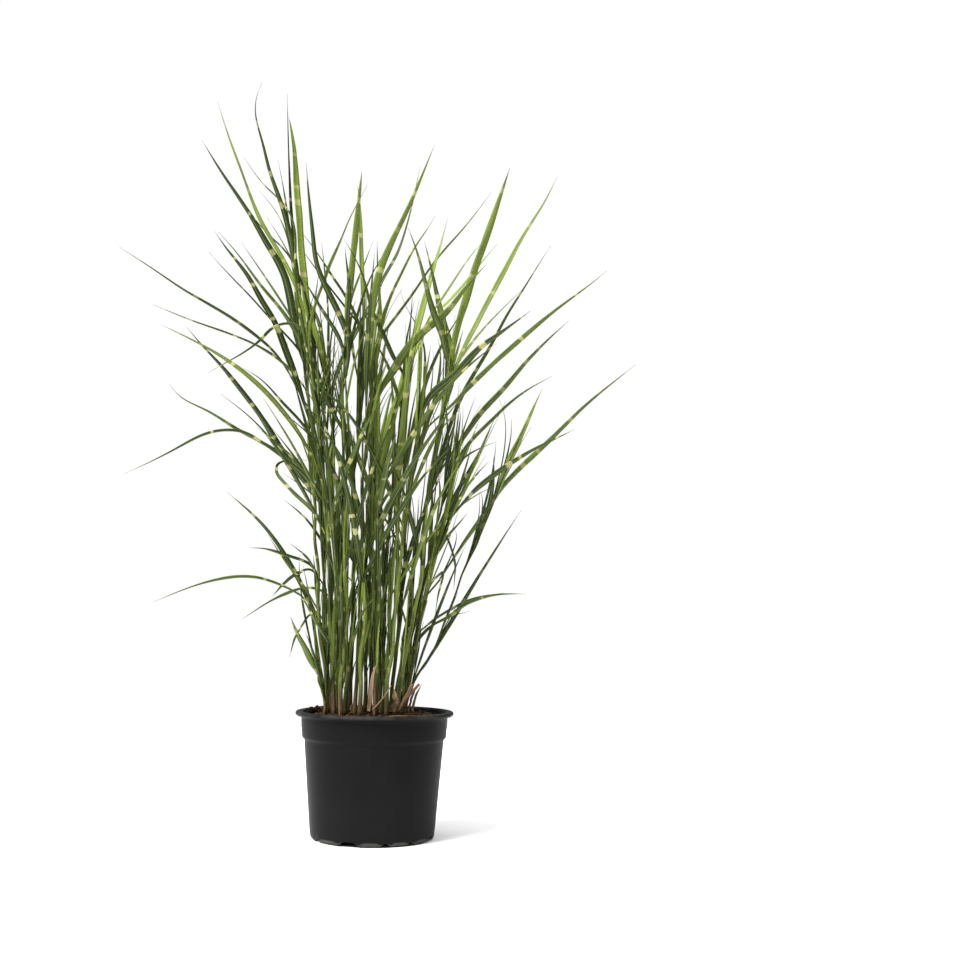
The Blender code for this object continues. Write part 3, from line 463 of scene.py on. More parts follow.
def blade_frame(line, seen, turn):
    """Width and face directions along a blade, turned so that it shows the width seen from the front."""
    real = min(max(seen * 1.12, 5.5), 10.5)
    angle = math.acos(min(seen / real, 1.0))
    along = tangents(line)
    view = unit_rows(line - np.array([0.0, -EYE_DISTANCE, EYE_HEIGHT]))
    flat = unit_rows(np.cross(along, view), 1e-6)
    deep = np.cross(along, flat)
    best = None
    for sign in (1.0, -1.0):
        a = sign * angle + np.linspace(-0.5, 0.5, len(line)) * turn
        across = flat * np.cos(a)[:, None] + deep * np.sin(a)[:, None]
        face = np.cross(across, along)
        lean = face[len(face) // 2][2]
        if best is None or abs(lean) > abs(best[2]) + 1e-6:
            best = (across, face, lean)
    across, face, lean = best
    if lean < 0:
        across, face = -across, -face
    return real, across, face


def blade_line(stem, start, path, tip_depth, power):
    """Centre line from the stem to the tip; the depth changes faster toward the tip for a larger power."""
    line = stem["line"]
    if start is None:
        root = line[-1] + unit(line[-1] - line[-3]) * (GAP + 0.2)
    else:
        root = line[nearest(front_view(line)[1], start)]
    front = [front_view(root)] + list(path)
    length = [0.0]
    for a, b in zip(front, front[1:]):
        length.append(length[-1] + math.hypot(b[0] - a[0], b[1] - a[1]))
    points = [root]
    for (x, height), far in list(zip(front, length))[1:]:
        depth = root[1] + (tip_depth - root[1]) * (far / length[-1])**power
        points.append(at_depth(x, height, depth))
    return spline(points, 4.0)


def tip_reach(x, height):
    """How far a blade's tip may lie in depth: the clump is about as deep as it is wide."""
    reach = 190.0 if height > 720 else 235.0
    return math.sqrt(max(reach * reach - x * x, 45.0 * 45.0))


def place_blade(clump, stems, index, start, seen, path, tip_depth=None):
    stem = stems[index]
    rng = clump.random
    outward = 1.0 if stem["line"][-1][1] > 0 else -1.0
    if rng.random() < 0.22:
        outward = -outward
    share = rng.uniform(0.3, 0.85)
    turn = rng.uniform(-0.5, 0.5)
    span = tip_reach(*path[-1])
    tips = [tip_depth]
    if tip_depth is None:
        shares = [share + sign * 0.09 * step for step in range(9) for sign in (1, -1)]
        tips = [outward * k * span for k in shares if 0.0 <= k <= 1.05]
        tips += [-outward * k * span for k in (0.1, 0.2, 0.35, 0.5, 0.7, 0.9)]

    def tried():
        for tip in tips:
            for power in (1.15, 0.9, 1.5):
                line = blade_line(stem, start, path, tip, power)
                real, across, face = blade_frame(line, seen, turn)
                radii = 0.5 * real * blade_width(np.linspace(0.0, 1.0, len(line))) + 0.35
                own = index if start is not None else -1
                yield clump.crowding(line[1:], radii[1:], own, 45.0), line, real, across, face, radii

    score, line, real, across, face, radii = least_crowded(tried())
    return {"stem": index, "line": line, "width": real, "across": across, "face": face,
            "radii": radii, "crowding": score, "top": start is None}


def fill_path(clump, stems, index, number):
    """Front-view points of a side blade set by rule, not by the photo: it leaves upward and arches out."""
    rng = clump.random
    xs, heights = front_view(stems[index]["line"])
    start = min(rng.uniform(*FILL_HEIGHT), heights[-1] - 45.0)
    x, height = xs[nearest(heights, start)], start
    side = 1 if number % 2 else -1
    length = rng.uniform(*FILL_LENGTH)
    lean = math.radians(rng.uniform(*FILL_LEAN)) * side
    bend = math.radians(rng.uniform(*FILL_BEND)) * side
    points = []
    for i in range(4):
        angle = lean + bend * (i / 3.0)**2
        x += math.sin(angle) * length / 4.0
        height += math.cos(angle) * length / 4.0
        points.append((x, height))
    return start, rng.uniform(*FILL_WIDTH), points


def plan_clump():
    clump = Clump()
    stems = make_stems(clump)
    blades = []

    def keep(blade):
        clump.register(blade["line"], blade["radii"], blade["stem"] if not blade["top"] else -2)
        blades.append(blade)

    for index, (seen, *path) in enumerate(TOP_BLADES):
        keep(place_blade(clump, stems, index, None, seen, pairs(path)))
    for index, start, seen, depth, *path in DEEP_BLADES:
        keep(place_blade(clump, stems, index, start, seen, pairs(path), depth))
    for index, start, seen, *path in SIDE_BLADES:
        keep(place_blade(clump, stems, index, start, seen, pairs(path)))
    for number, index in enumerate(FILL_STEMS):
        for _ in range(FILL_TRIES):
            blade = place_blade(clump, stems, index, *fill_path(clump, stems, index, number))
            if blade["crowding"] == 0.0:
                keep(blade)
                break
    return stems, blades


class Form:
    """Collects closed parts with surface coordinates and makes one mesh object of them."""

    def __init__(self):
        self.verts = []
        self.chunks = []
        self.count = 0

    def add(self, verts, faces, coat, tag, slot):
        self.chunks.append((faces + self.count, coat, tag, slot))
        self.verts.append(verts)
        self.count += len(verts)

    def rings(self, points, around, along, seed, t, slot, side=0.0):
        """Closed rings (n, m, 3) joined into a tube with capped ends."""
        n, m = points.shape[:2]
        start = self.count
        i = np.arange(m)
        j = (i + 1) % m
        k = np.arange(n - 1)[:, None] * m
        quads = np.stack(np.broadcast_arrays(k + i, k + j, k + m + j, k + m + i), -1).reshape(-1, 4)
        u = np.stack([around[:-1], around[1:], around[1:], around[:-1]], -1)
        v, w = (np.stack([a[:-1], a[:-1], a[1:], a[1:]], -1)[:, None] for a in (along, t))
        s = (np.reshape(seed, (-1, 1)) + side)[..., None]
        u, v, s, w = (np.broadcast_to(a, (n - 1, m, 4)) for a in (u, v, s, w))
        verts = [points.reshape(-1, 3), points[0].mean(0)[None], points[-1].mean(0)[None]]
        self.add(np.concatenate(verts), quads, np.stack([u, v], -1), np.stack([s, w], -1), slot)
        low = np.stack([np.full(m, n * m), j, i], -1)
        high = np.stack([np.full(m, n * m + 1), (n - 1) * m + i, (n - 1) * m + j], -1)
        for cap, row in ((low, 0), (high, -1)):
            coat = np.tile((0.5, along[row]), (m, 3, 1))
            tag = np.tile((s[row, 0, 0], t[row]), (m, 3, 1))
            self.chunks.append((cap + start, coat, tag, slot))

    def build(self, name, materials):
        """The mesh object; its two UV layers hold the surface coordinates and the seed with the share."""
        faces, coats, tags, slots = [], [], [], []
        for f, coat, tag, slot in self.chunks:
            faces += f.tolist()
            coats.append(coat.reshape(-1, 2))
            tags.append(tag.reshape(-1, 2))
            slots += [slot] * len(f)
        mesh = bpy.data.meshes.new(name)
        mesh.from_pydata((np.concatenate(self.verts) * MM).tolist(), [], faces)
        for layer, data in (("coat", coats), ("tag", tags)):
            uv = mesh.uv_layers.new(name=layer)
            uv.data.foreach_set("uv", np.concatenate(data).ravel())
        for material in materials:
            mesh.materials.append(material)
        mesh.polygons.foreach_set("material_index", slots)
        mesh.polygons.foreach_set("use_smooth", [True] * len(faces))
        mesh.update()
        return add_object(name, mesh)


def add_object(name, data):
    obj = bpy.data.objects.new(name, data)
    bpy.context.collection.objects.link(obj)
    return obj


def wander(rng, count, waves, size):
    """A smooth random curve of this many samples that swings by about this size."""
    s = np.linspace(0.0, 1.0, count)
    total = np.zeros(count)
    for k in range(1, 4):
        total += 0.65**k * np.sin(2.0 * math.pi * (s * waves * k * 0.73 + rng.random()))
    return total * size


def at_distances(s, arc, rows):
    """Rows given at the distances arc along a line, read at the distances s."""
    return np.stack([np.interp(s, arc, rows[:, i]) for i in range(3)], -1)


def add_blade(form, line, across, face, width, seed, rng, slot=0, shape=blade_width, fold=0.2, wrap=0.3,
              thick=0.4, step=4.5, turn=0.2):
    """A thin leaf blade: folded along its midrib, wrapped at its foot, with slightly wavy edges."""
    arc = arc_length(line)
    count = max(14, int(arc[-1] / step))
    s = np.linspace(0.0, arc[-1], count)
    t = s / s[-1]
    p, a, f = (at_distances(s, arc, rows) for rows in (line, across, face))
    a, f = unit_rows(a), unit_rows(f)
    roll = wander(rng, count, 1.6, turn) * np.clip(t * 4.0, 0.0, 1.0)
    cos, sin = np.cos(roll)[:, None], np.sin(roll)[:, None]
    a, f = a * cos + f * sin, f * cos - a * sin
    w = np.maximum(SEEN_WIDTH * width * shape(t), 0.35)
    crease = fold + wrap * np.exp(-t * 16.0)
    left, right = (crease + wander(rng, count, s[-1] / 70.0, 0.035) for _ in range(2))
    body = thick * np.clip(0.25 + w / width, 0.3, 1.0)
    rings = np.empty((count, len(ACROSS), 3))
    for i, x in enumerate(ACROSS):
        half = body * (0.9 if x == 0.0 else 0.5 if abs(x) < 1.0 else 0.0)
        lift = (left if x < 0 else right) * abs(x)**1.25 * w
        lift = lift + (half if TOP_SIDE[i] else -half * (1.6 if x == 0.0 else 1.0))
        rings[:, i] = p + a * (x * w / 2)[:, None] + f * lift[:, None]
    form.rings(rings, ACROSS_U, s * MM, seed, t, slot, 1.0 - TOP_SIDE)


def add_tube(form, line, radii, seed, slot, sides, along=None, t=None):
    """A round tube about a line; its rings turn as little as they can from one to the next."""
    line = np.asarray(line, dtype=float)
    d = tangents(line)
    side = unit(np.cross(d[0], [0.3, 1.0, 0.2]))
    rings = np.empty((len(line), sides, 3))
    angle = 2.0 * math.pi * np.arange(sides) / sides
    for k in range(len(line)):
        side = unit(side - d[k] * np.dot(side, d[k]))
        other = np.cross(d[k], side)
        rings[k] = line[k] + radii[k] * (np.cos(angle)[:, None] * side + np.sin(angle)[:, None] * other)
    if along is None:
        along = arc_length(line) * MM
        t = np.linspace(0.0, 1.0, len(line))
    form.rings(rings, np.linspace(0.0, 1.0, sides + 1), along, seed, t, slot)


def toned_seed(rng, turns, first, whole, tones):
    """A seed whose fraction after this many turns, its tone, lies between the two given."""
    darkest, lightest = tones
    draw = rng.random() * whole
    k = int(draw)
    return (first + k + darkest + (lightest - darkest) * (draw - k)) / turns


def blade_seed(number, rng):
    """A random seed whose tone in the leaf material is dark, middle or light."""
    low = 0.1 if number in DARK_BLADES else 0.72 if number in LIGHT_BLADES else 0.4
    while True:
        seed = rng.uniform(YOUNG_SEED + 0.01, LAST_SEED)
        if low < seed * TONE_TURNS % 1.0 < low + 0.25:
            return seed


def add_culm(form, stem, collars, rng):
    """A culm wrapped in sheaths: each sheath swells a little to its collar, where a blade leaves it."""
    line = stem["line"]
    arc = arc_length(line)
    edges = [0.0]
    for c in sorted({round(float(arc[nearest(line[:, 2], z)]), 1) for z in collars}):
        if COLLAR_FROM_FOOT < c < arc[-1] - COLLAR_FROM_TOP and c - edges[-1] > COLLAR_APART:
            edges.append(c)
    edges.append(arc[-1])
    # Painted shade: culms at the back get darker tones, those at the front lighter ones as painted light
    tones = SHADED_BACK_CULM if line[-1][1] > 20.0 else LIT_FRONT_CULM
    stations, tint, swell = [], [], []
    for a, b in zip(edges, edges[1:]):
        count = max(3, int((b - a) / 6.0))
        shade = toned_seed(rng, CULM_TURNS, 0, 5, tones)
        for k in range(count + 1):
            u = k / count
            stations.append(min(a + (b - a) * u + (0.25 if k == 0 and a > 0 else 0.0), arc[-1]))
            tint.append(shade)
            swell.append(0.82 + 0.26 * u**2 + (0.07 if k == count else 0.0))
    s = np.array(stations)
    p = at_distances(s, arc, line) + at_distances(s, arc, stem["sway"])
    radius = (0.76 + 0.32 * np.exp(-s / 70.0)) * culm_radius(stem, p[:, 2]) * np.array(swell)
    foot = 1.0 + 0.15 * np.exp(-s / 9.0)
    p[0, 2] -= 1.5
    add_tube(form, p, radius * foot, np.array(tint)[:-1], 1, CULM_ROUND, s * MM, s / arc[-1])


def add_sway(stem, rng):
    """Small bends of a culm that the plain solid leaves out; none at its foot and its top."""
    count = len(stem["line"])
    u = np.linspace(0.0, 1.0, count)
    hold = np.clip(np.minimum(u, 1.0 - u) * 6.0, 0.0, 1.0)
    bends = [wander(rng, count, count * 6.0 / 150.0, size) * hold for size in (2.6, 2.2)]
    stem["sway"] = np.stack([*bends, np.zeros(count)], -1)


def follow(stem, line):
    """A blade's line with its foot moved to where its culm sways."""
    k = int(np.argmin(np.linalg.norm(stem["line"] - line[0], axis=1)))
    away = np.linalg.norm(line - line[0], axis=1)
    return line + stem["sway"][k] * np.exp(-away / 40.0)[:, None]


def young_blade(stem, rng, low, high, reach, side):
    """Line and directions of a small blade that leaves the culm upward and falls away mostly in depth."""
    line = stem["line"]
    k = nearest(line[:, 2], rng.uniform(low, min(high, line[-1][2] - 30.0)))
    d = tangents(line)[k]
    azimuth = rng.uniform(0.0, 2.0 * math.pi)
    out = np.array([side * math.cos(azimuth), math.sin(azimuth), 0.0])
    if out[0] * line[k][0] > 0.0:
        out[0] *= 0.3
    length = rng.uniform(*reach)
    lean = 0.08 + 0.42 * rng.random()**2
    bend = rng.uniform(0.1, 0.75)
    points = [line[k]]
    for i in range(5):
        angle = lean + bend * (i / 4.0)**1.6
        points.append(points[-1] + (d * math.cos(angle) + out * math.sin(angle)) * length / 5.0)
    points = spline(points, 5.0)
    along = tangents(points)
    across = unit_rows(np.cross(along, out), 1e-6)
    roll = rng.uniform(-0.9, 0.9)
    across = across * math.cos(roll) + np.cross(across, along) * math.sin(roll)
    return points, across, np.cross(across, along)


def sheath_shape(t):
    """Width of a torn sheath along its length."""
    return 0.75 + 0.25 * np.sin(t * 5.0) - 0.7 * np.clip((t - 0.7) / 0.3, 0.0, 1.0)**1.4


def add_foot_sheath(form, stem, rng):
    """A dry, torn sheath that stands at the foot of a culm and leans a little away from it."""
    line = stem["line"]
    azimuth = rng.uniform(0.0, 2.0 * math.pi)
    out = np.array([math.cos(azimuth), math.sin(azimuth), 0.0])
    high = rng.uniform(10.0, 40.0)
    radius = stem["radius"] * 1.2
    points = []
    for i in range(6):
        u = i / 5.0
        away = radius + 0.3 + rng.uniform(0.2, 2.2) * u**2
        p = line[nearest(line[:, 2], SOIL_TOP + high * u)] + out * away
        p[2] = SOIL_TOP - 0.8 + high * u
        points.append(p)
    points = spline(points, 4.0)
    across = np.tile(np.array([-out[1], out[0], 0.0]), (len(points), 1))
    d = tangents(points)
    across -= d * (across * d).sum(1)[:, None]
    face = np.cross(across, d)
    if face[0] @ out > 0:
        across, face = -across, -face
    add_blade(form, points, across, face, rng.uniform(2.5, 4.8), rng.random() * LAST_SEED, rng, 2,
              sheath_shape, 0.34, 0.1, 0.35, 4.0, 0.25)


def make_clump(leaf, culm, dry):
    stems, blades = plan_clump()
    rng = random.Random(CLUMP_SEED)
    pieces = []
    for index, stem in enumerate(stems):
        form = Form()
        add_sway(stem, rng)
        sides = [b for b in blades if b["stem"] == index and not b["top"]]
        add_culm(form, stem, [b["line"][0][2] for b in sides], rng)
        for b in sides:
            line = follow(stem, b["line"])
            seed = toned_seed(rng, TONE_TURNS, 3, 4, SHADED_BLADE if line[-1][0] < line[0][0] else LIT_BLADE)
            add_blade(form, line, b["across"], b["face"], b["width"], seed, rng)
        tall = stem["line"][-1][2] > TALL_CULM
        for low, high, reach, side, number in YOUNG:
            for _ in range(number if tall else number // 3):
                line, across, face = young_blade(stem, rng, low, high, reach, side)
                wide = rng.uniform(*YOUNG_WIDTH)
                shaded = line[0][1] > 0.0 or line[-1][0] < line[0][0]
                seed = toned_seed(rng, TONE_TURNS, 0, 2, SHADED_BLADE if shaded else LIT_YOUNG)
                add_blade(form, follow(stem, line), across, face, wide, seed, rng)
        for _ in range(rng.choice((0, 0, 1, 1))):
            add_foot_sheath(form, stem, rng)
        number = f"{index + 1:02d}"
        pieces.append((form.build("culm_" + number, [leaf, culm, dry]), "stem_" + number, "stems"))
    for b in blades:
        if b["top"]:
            number = b["stem"] + 1
            form = Form()
            seed = blade_seed(number, rng)
            shape = tapering(*TAPERS[number]) if number in TAPERS else blade_width
            add_blade(form, b["line"], b["across"], b["face"], TOP_WIDTH * b["width"], seed, rng, 0, shape)
            pieces.append((form.build(f"blade_{number:02d}", [leaf]), f"leaf_{number:02d}", "leaves"))
    return pieces


def make_dry_pieces(dry, cane):
    """The dry remains at the foot of the clump; points are (x, height, depth) as seen from the front."""
    rng = random.Random(DRY_SEED)
    pieces = []

    def curve(points, step):
        return spline([at_depth(*p) for p in points], step)

    def add_scrap(form, points, tilt, width, seed, fold, wrap, step, turn):
        line = curve(points, step)
        across = np.tile(tilt, (len(line), 1))
        add_blade(form, line, across, np.cross(across, tangents(line)), width, seed, rng, 0, sheath_shape,
                  fold, wrap, 0.4, step, turn)

    def keep(form, name, material, node, slot):
        pieces.append((form.build(name, [material]), node, slot))

    form = Form()
    add_scrap(form, [(-7.6, 149.5, -44), (-5, 176, -45), (-2, 197, -46), (3, 211, -48)], [1.0, 0.0, -0.2],
              5.2, 0.31, 0.22, 0.1, 3.0, 0.3)
    keep(form, "torn_sheath", dry, "dry_sheath", "dry")

    form = Form()
    line = curve([(-3, 150.5, -52), (8, 163, -54), (19, 180, -56)], 2.0)
    add_tube(form, line, np.linspace(1.0, 0.7, len(line)), 0.12, 0, 8)
    keep(form, "loose_straw", dry, "dry_straw", "dry")

    form = Form()
    steps = 14
    for foot, top, radius, seed in (((29, 149.5, -42), (45, 182, -44), 2.6, 0.2),
                                    ((34, 160, -43), (53, 182, -46), 1.5, 0.7)):
        a, b = at_depth(*foot), at_depth(*top)
        line = np.array([a + (b - a) * k / steps for k in range(steps + 1)])
        line[:, 0] += wander(rng, steps + 1, 1.2, 0.6)
        radii = radius * (1.0 + wander(rng, steps + 1, 3.0, 0.09))
        add_tube(form, line, radii, seed, 0, 10)
    for k in range(4):
        x = 30.0 + 5.0 * k
        points = [(x, 150, -40), (x + 4, 160 + 3 * k, -42), (x + 6 + 2 * k, 168 + 5 * k, -43)]
        add_scrap(form, points, [0.9, 0.3, -0.3], 3.4, 0.4 + 0.1 * k, 0.3, 0.1, 3.0, 0.4)
    keep(form, "cut_canes", cane, "cut_cane", "cane")

    form = Form()
    add_scrap(form, [(20, 149.5, -44), (24, 162, -46), (22, 178, -47)], [0.95, 0.3, 0.0],
              8.0, 0.77, 0.3, 0.2, 2.5, 0.5)
    keep(form, "curled_husk", dry, "dry_husk", "dry")
    return pieces


# A small block of 12 corners, the form of every crumb
CORNERS = [(i, j, 0.0) for i in (-1.0, 1.0) for j in (-1.618, 1.618)]
BLOCK = np.array([np.roll(corner, turn) for turn in range(3) for corner in CORNERS]) / 1.9


def hull_faces(points):
    """Triangles of the convex form of a few points, facing out."""
    faces = []
    for i, j, k in itertools.combinations(range(len(points)), 3):
        n = np.cross(points[j] - points[i], points[k] - points[i])
        side = (points - points[i]) @ n
        if np.all(side < 1e-9):
            faces.append((i, j, k))
        elif np.all(side > -1e-9):
            faces.append((i, k, j))
    return np.array(faces)


BLOCK_FACES = hull_faces(BLOCK)


def add_crumb(form, centre, size, rng, seed=None):
    v = BLOCK * rng.uniform(0.55, 1.25, (12, 1)) * size * rng.uniform(0.6, 1.3, (1, 3))
    angle = rng.uniform(0, 2 * math.pi)
    c, s = math.cos(angle), math.sin(angle)
    v = v @ np.array([[c, -s, 0], [s, c, 0], [0, 0, 1]]).T + centre
    tag = np.zeros((len(BLOCK_FACES), 3, 2))
    tag[:, :, 0] = rng.random() * LAST_SEED if seed is None else seed
    form.add(v, BLOCK_FACES, np.zeros_like(tag), tag, 0)


def wall_radius(height):
    """Outer radius of the pot's tapered wall."""
    return BASE_RADIUS + (WALL_TOP_RADIUS - BASE_RADIUS) * (height - 2.5) / (STEP_HEIGHT - 1.0 - 2.5)


def spot(radius, angle):
    """The x and y of a place round the axis."""
    return radius * math.cos(angle), radius * math.sin(angle)


def random_spot(rng, radius):
    """A random place within this radius of the axis."""
    angle = rng.uniform(0, 2 * math.pi)
    return spot(radius * math.sqrt(rng.random()), angle)


def ring(radius, height, angles):
    return np.stack(np.broadcast_arrays(radius * np.cos(angles), radius * np.sin(angles), height), -1)


def soil_height(x, y, lumps):
    """Height of the soil surface: flat crown, lower edge, small hummocks."""
    r = math.hypot(x, y)
    edge = COLLAR_TOP_RADIUS - WALL - GAP
    z = SOIL_TOP - 0.6
    if r > CROWN_RADIUS:
        z -= (SOIL_TOP - SOIL_EDGE_TOP) * min((r - CROWN_RADIUS) / (edge - CROWN_RADIUS), 1.0)
    for cx, cy, size, high in lumps:
        z += high * math.exp(-((x - cx)**2 + (y - cy)**2) / (size * size))
    return z


def make_soil_piece(materials):
    """The root ball: an uneven surface strewn with crumbs, black lumps at the back left, fibres, a straw."""
    rng = np.random.default_rng(SOIL_SEED)
    form = Form()
    lumps = []
    for _ in range(HUMMOCKS):
        lumps.append((*random_spot(rng, 84.0), rng.uniform(3, 9), rng.uniform(-1.0, 1.0)))
    for degrees, r, size, high in LUMPS:
        lumps.append((*spot(r, math.radians(degrees)), size, high))

    def put_crumb(x, y, rise, size):
        add_crumb(form, (x, y, soil_height(x, y, lumps) + rise), size, rng)

    floor = BASE_CLEARANCE + FLOOR + GAP
    edge = COLLAR_TOP_RADIUS - WALL - GAP - 0.3
    angles = 2.0 * math.pi * np.arange(SOIL_ROUND) / SOIL_ROUND
    rings, reach = [], []
    for radius, height in ((wall_radius(floor) - WALL - GAP, floor),
                           (WALL_TOP_RADIUS - WALL - GAP, STEP_HEIGHT - 0.8),
                           (COLLAR_FOOT_RADIUS - WALL - GAP, STEP_HEIGHT + 2.7),
                           (edge, SOIL_EDGE_TOP - 3.0)):
        rings.append(ring(radius, height, angles))
        reach.append(radius)
    for radius in np.linspace(edge, 1.2, 34):
        places = [spot(radius, a) for a in angles]
        rings.append([(x, y, soil_height(x, y, lumps) + rng.uniform(-0.35, 0.35)) for x, y in places])
        reach.append(radius)
    form.rings(np.array(rings), np.linspace(0, 1, SOIL_ROUND + 1), np.array(reach) * MM, 0.3,
               np.zeros(len(rings)), 0)

    for _ in range(CRUMBS):
        x, y = random_spot(rng, SOIL_REACH)
        size = float(rng.choice(CRUMB_SIZES, p=CRUMB_SHARES))
        put_crumb(x, y, size * 0.25, size)
    for degrees, r in HEAPS:
        for _ in range(HEAP_CRUMBS):
            a = math.radians(degrees + rng.uniform(-5, 5))
            x, y = spot(r + rng.uniform(-4, 3), a)
            put_crumb(x, y, 0.6, rng.uniform(1.6, 3.0))
    for _ in range(BLACK_CRUMBS):
        a = math.radians(rng.uniform(150, 182))
        x, y = spot(rng.uniform(76.0, 83.0), a)
        size = rng.uniform(1.5, 3.2)
        add_crumb(form, (x, y, rng.uniform(144.0, 151.5)), size, rng, BLACK_SEED)

    straw = spline([(16.0, -60.0, 147.2), (27.0, -55.0, 148.0), (42.0, -52.0, 147.0)], 3.0)
    add_tube(form, straw, np.linspace(1.1, 0.6, len(straw)), 0.05, 1, 8)
    for _ in range(FIBRES):
        x, y = random_spot(rng, 80.0)
        heading = rng.uniform(0, 2 * math.pi)
        length = rng.uniform(5, 17)
        points = []
        for _ in range(6):
            heading += rng.uniform(-0.5, 0.5)
            x += math.cos(heading) * length / 6
            y += math.sin(heading) * length / 6
            if math.hypot(x, y) > SOIL_REACH:
                break
            points.append((x, y, soil_height(x, y, lumps) + 0.7 + rng.uniform(0, 0.9)))
        if len(points) > 2:
            radius = rng.uniform(0.18, 0.42)
            radii = np.linspace(radius, radius * 0.5, len(points))
            add_tube(form, points, radii, rng.random() * LAST_SEED, 1, 4)
    return form.build("soil_surface", materials)


def pot_profile():
    """Radius and height round the pot's section, from the middle of its underside to the middle of its
    floor; where the foot begins in it; which points round off the foot."""
    lip = POT_HEIGHT - LIP_HEIGHT
    inner_foot = BASE_RADIUS - FOOT_RING_WIDTH
    outer_foot = BASE_RADIUS - FOOT_ROUNDING
    floor = BASE_CLEARANCE + FLOOR
    profile = [(r, BASE_CLEARANCE) for r in (1.0, 30.0, 60.0, inner_foot)]
    foot = len(profile)
    profile += [(inner_foot + 0.3, 2.0), (inner_foot + 1.0, 0.3), (inner_foot + 1.8, 0.0), (outer_foot, 0.0)]
    pads = range(len(profile), len(profile) + 7)
    for k in range(1, 8):
        a = math.radians(90.0 * k / 7)
        profile.append((outer_foot + FOOT_ROUNDING * math.sin(a)**1.2, 6.2 * (1.0 - math.cos(a))))
    profile += [(wall_radius(height), height) for height in np.linspace(12.0, STEP_HEIGHT - 4.0, 12)]
    profile += [(WALL_TOP_RADIUS - 0.1, STEP_HEIGHT - 1.6), (WALL_TOP_RADIUS + 0.3, STEP_HEIGHT - 0.6)]
    profile += [(COLLAR_FOOT_RADIUS - 0.7, STEP_HEIGHT + 1.3), (COLLAR_FOOT_RADIUS - 0.1, STEP_HEIGHT + 2.2)]
    profile.append((COLLAR_FOOT_RADIUS + 0.1, STEP_HEIGHT + 3.4))
    widening = COLLAR_TOP_RADIUS - COLLAR_FOOT_RADIUS - 0.1
    for height in np.linspace(STEP_HEIGHT + 6.0, lip - 2.4, 6):
        u = (height - STEP_HEIGHT - 3.4) / (lip - STEP_HEIGHT - 3.4)
        profile.append((COLLAR_FOOT_RADIUS + 0.1 + widening * u, height))
    profile += [(COLLAR_TOP_RADIUS + 0.2, lip - 0.9), (COLLAR_TOP_RADIUS + 1.2, lip - 0.1)]
    for k in range(-4, 5):
        a = math.radians(22.0 * k)
        profile.append((RIM_RADIUS - LIP_ROUNDING + LIP_ROUNDING * math.cos(a),
                        lip + LIP_HEIGHT / 2 + 2.75 * math.sin(a)))
    profile += [(RIM_RADIUS - 4.0, POT_HEIGHT), (COLLAR_TOP_RADIUS + 0.6, POT_HEIGHT - 0.05)]
    profile.append((COLLAR_TOP_RADIUS - WALL + 0.6, POT_HEIGHT - 0.5))
    profile.append((COLLAR_TOP_RADIUS - WALL, POT_HEIGHT - 1.6))
    profile += [(COLLAR_FOOT_RADIUS - WALL, STEP_HEIGHT + 2.4), (WALL_TOP_RADIUS - WALL, STEP_HEIGHT - 1.0)]
    profile += [(wall_radius(floor) - WALL, floor), (30.0, floor), (1.0, floor)]
    return profile, foot, pads


def make_pot_piece(material):
    profile, foot, pads = pot_profile()
    angles = 2.0 * math.pi * np.arange(POT_ROUND) / POT_ROUND
    lift = np.zeros(POT_ROUND)
    round_off = np.zeros(POT_ROUND)
    for centre, half in NOTCHES:
        gap = np.abs((np.degrees(angles) + 90.0 - centre + 180.0) % 360.0 - 180.0)
        lift = np.maximum(lift, 1.0 / (1.0 + np.exp((gap - half) / 1.2)))
        round_off = np.maximum(round_off, np.clip(1.2 - (gap - half) / 5.0, 0.0, 1.0))
    rings = []
    for k, (radius, z) in enumerate(profile):
        if k in pads:
            z = z * (1.0 - 0.55 * round_off)
            radius = radius - lift * 1.2 * (pads[-1] - k) / 6.0
        if foot <= k <= pads[-1]:
            z = z + lift * np.maximum(BASE_CLEARANCE - 0.6 - z, 0.0)
        rings.append(ring(radius, z, angles))
    form = Form()
    heights = np.array([z for _, z in profile])
    # Rings of the foot's rounded pads, where the material paints a reflection of the floor's light
    floor_lit_pads = np.array([1.0 if k in pads[:-1] else 0.0 for k in range(len(profile))])
    form.rings(np.array(rings), np.linspace(0, 1, POT_ROUND + 1), heights * MM, 0.5, floor_lit_pads, 0)
    pot = form.build("nursery_pot", [material])
    for i in range(DRAIN_HOLES):
        x, y = spot(DRAIN_HOLE_RING, 2.0 * math.pi * (i + 0.5) / DRAIN_HOLES)
        drill = Form()
        add_tube(drill, [(x, y, 1.0), (x, y, 7.0), (x, y, 13.0)], [DRAIN_HOLE_RADIUS] * 3, 0.5, 0, 20)
        tool = drill.build("drill", [])
        modifier = pot.modifiers.new("hole", "BOOLEAN")
        modifier.operation = "DIFFERENCE"
        modifier.object = tool
        modifier.solver = "EXACT"
        bpy.context.view_layer.update()
        mesh = bpy.data.meshes.new_from_object(pot.evaluated_get(bpy.context.evaluated_depsgraph_get()))
        pot.modifiers.clear()
        pot.data = mesh
        bpy.data.objects.remove(tool)
    pot.data.set_sharp_from_angle(angle=math.radians(50.0))
    return pot


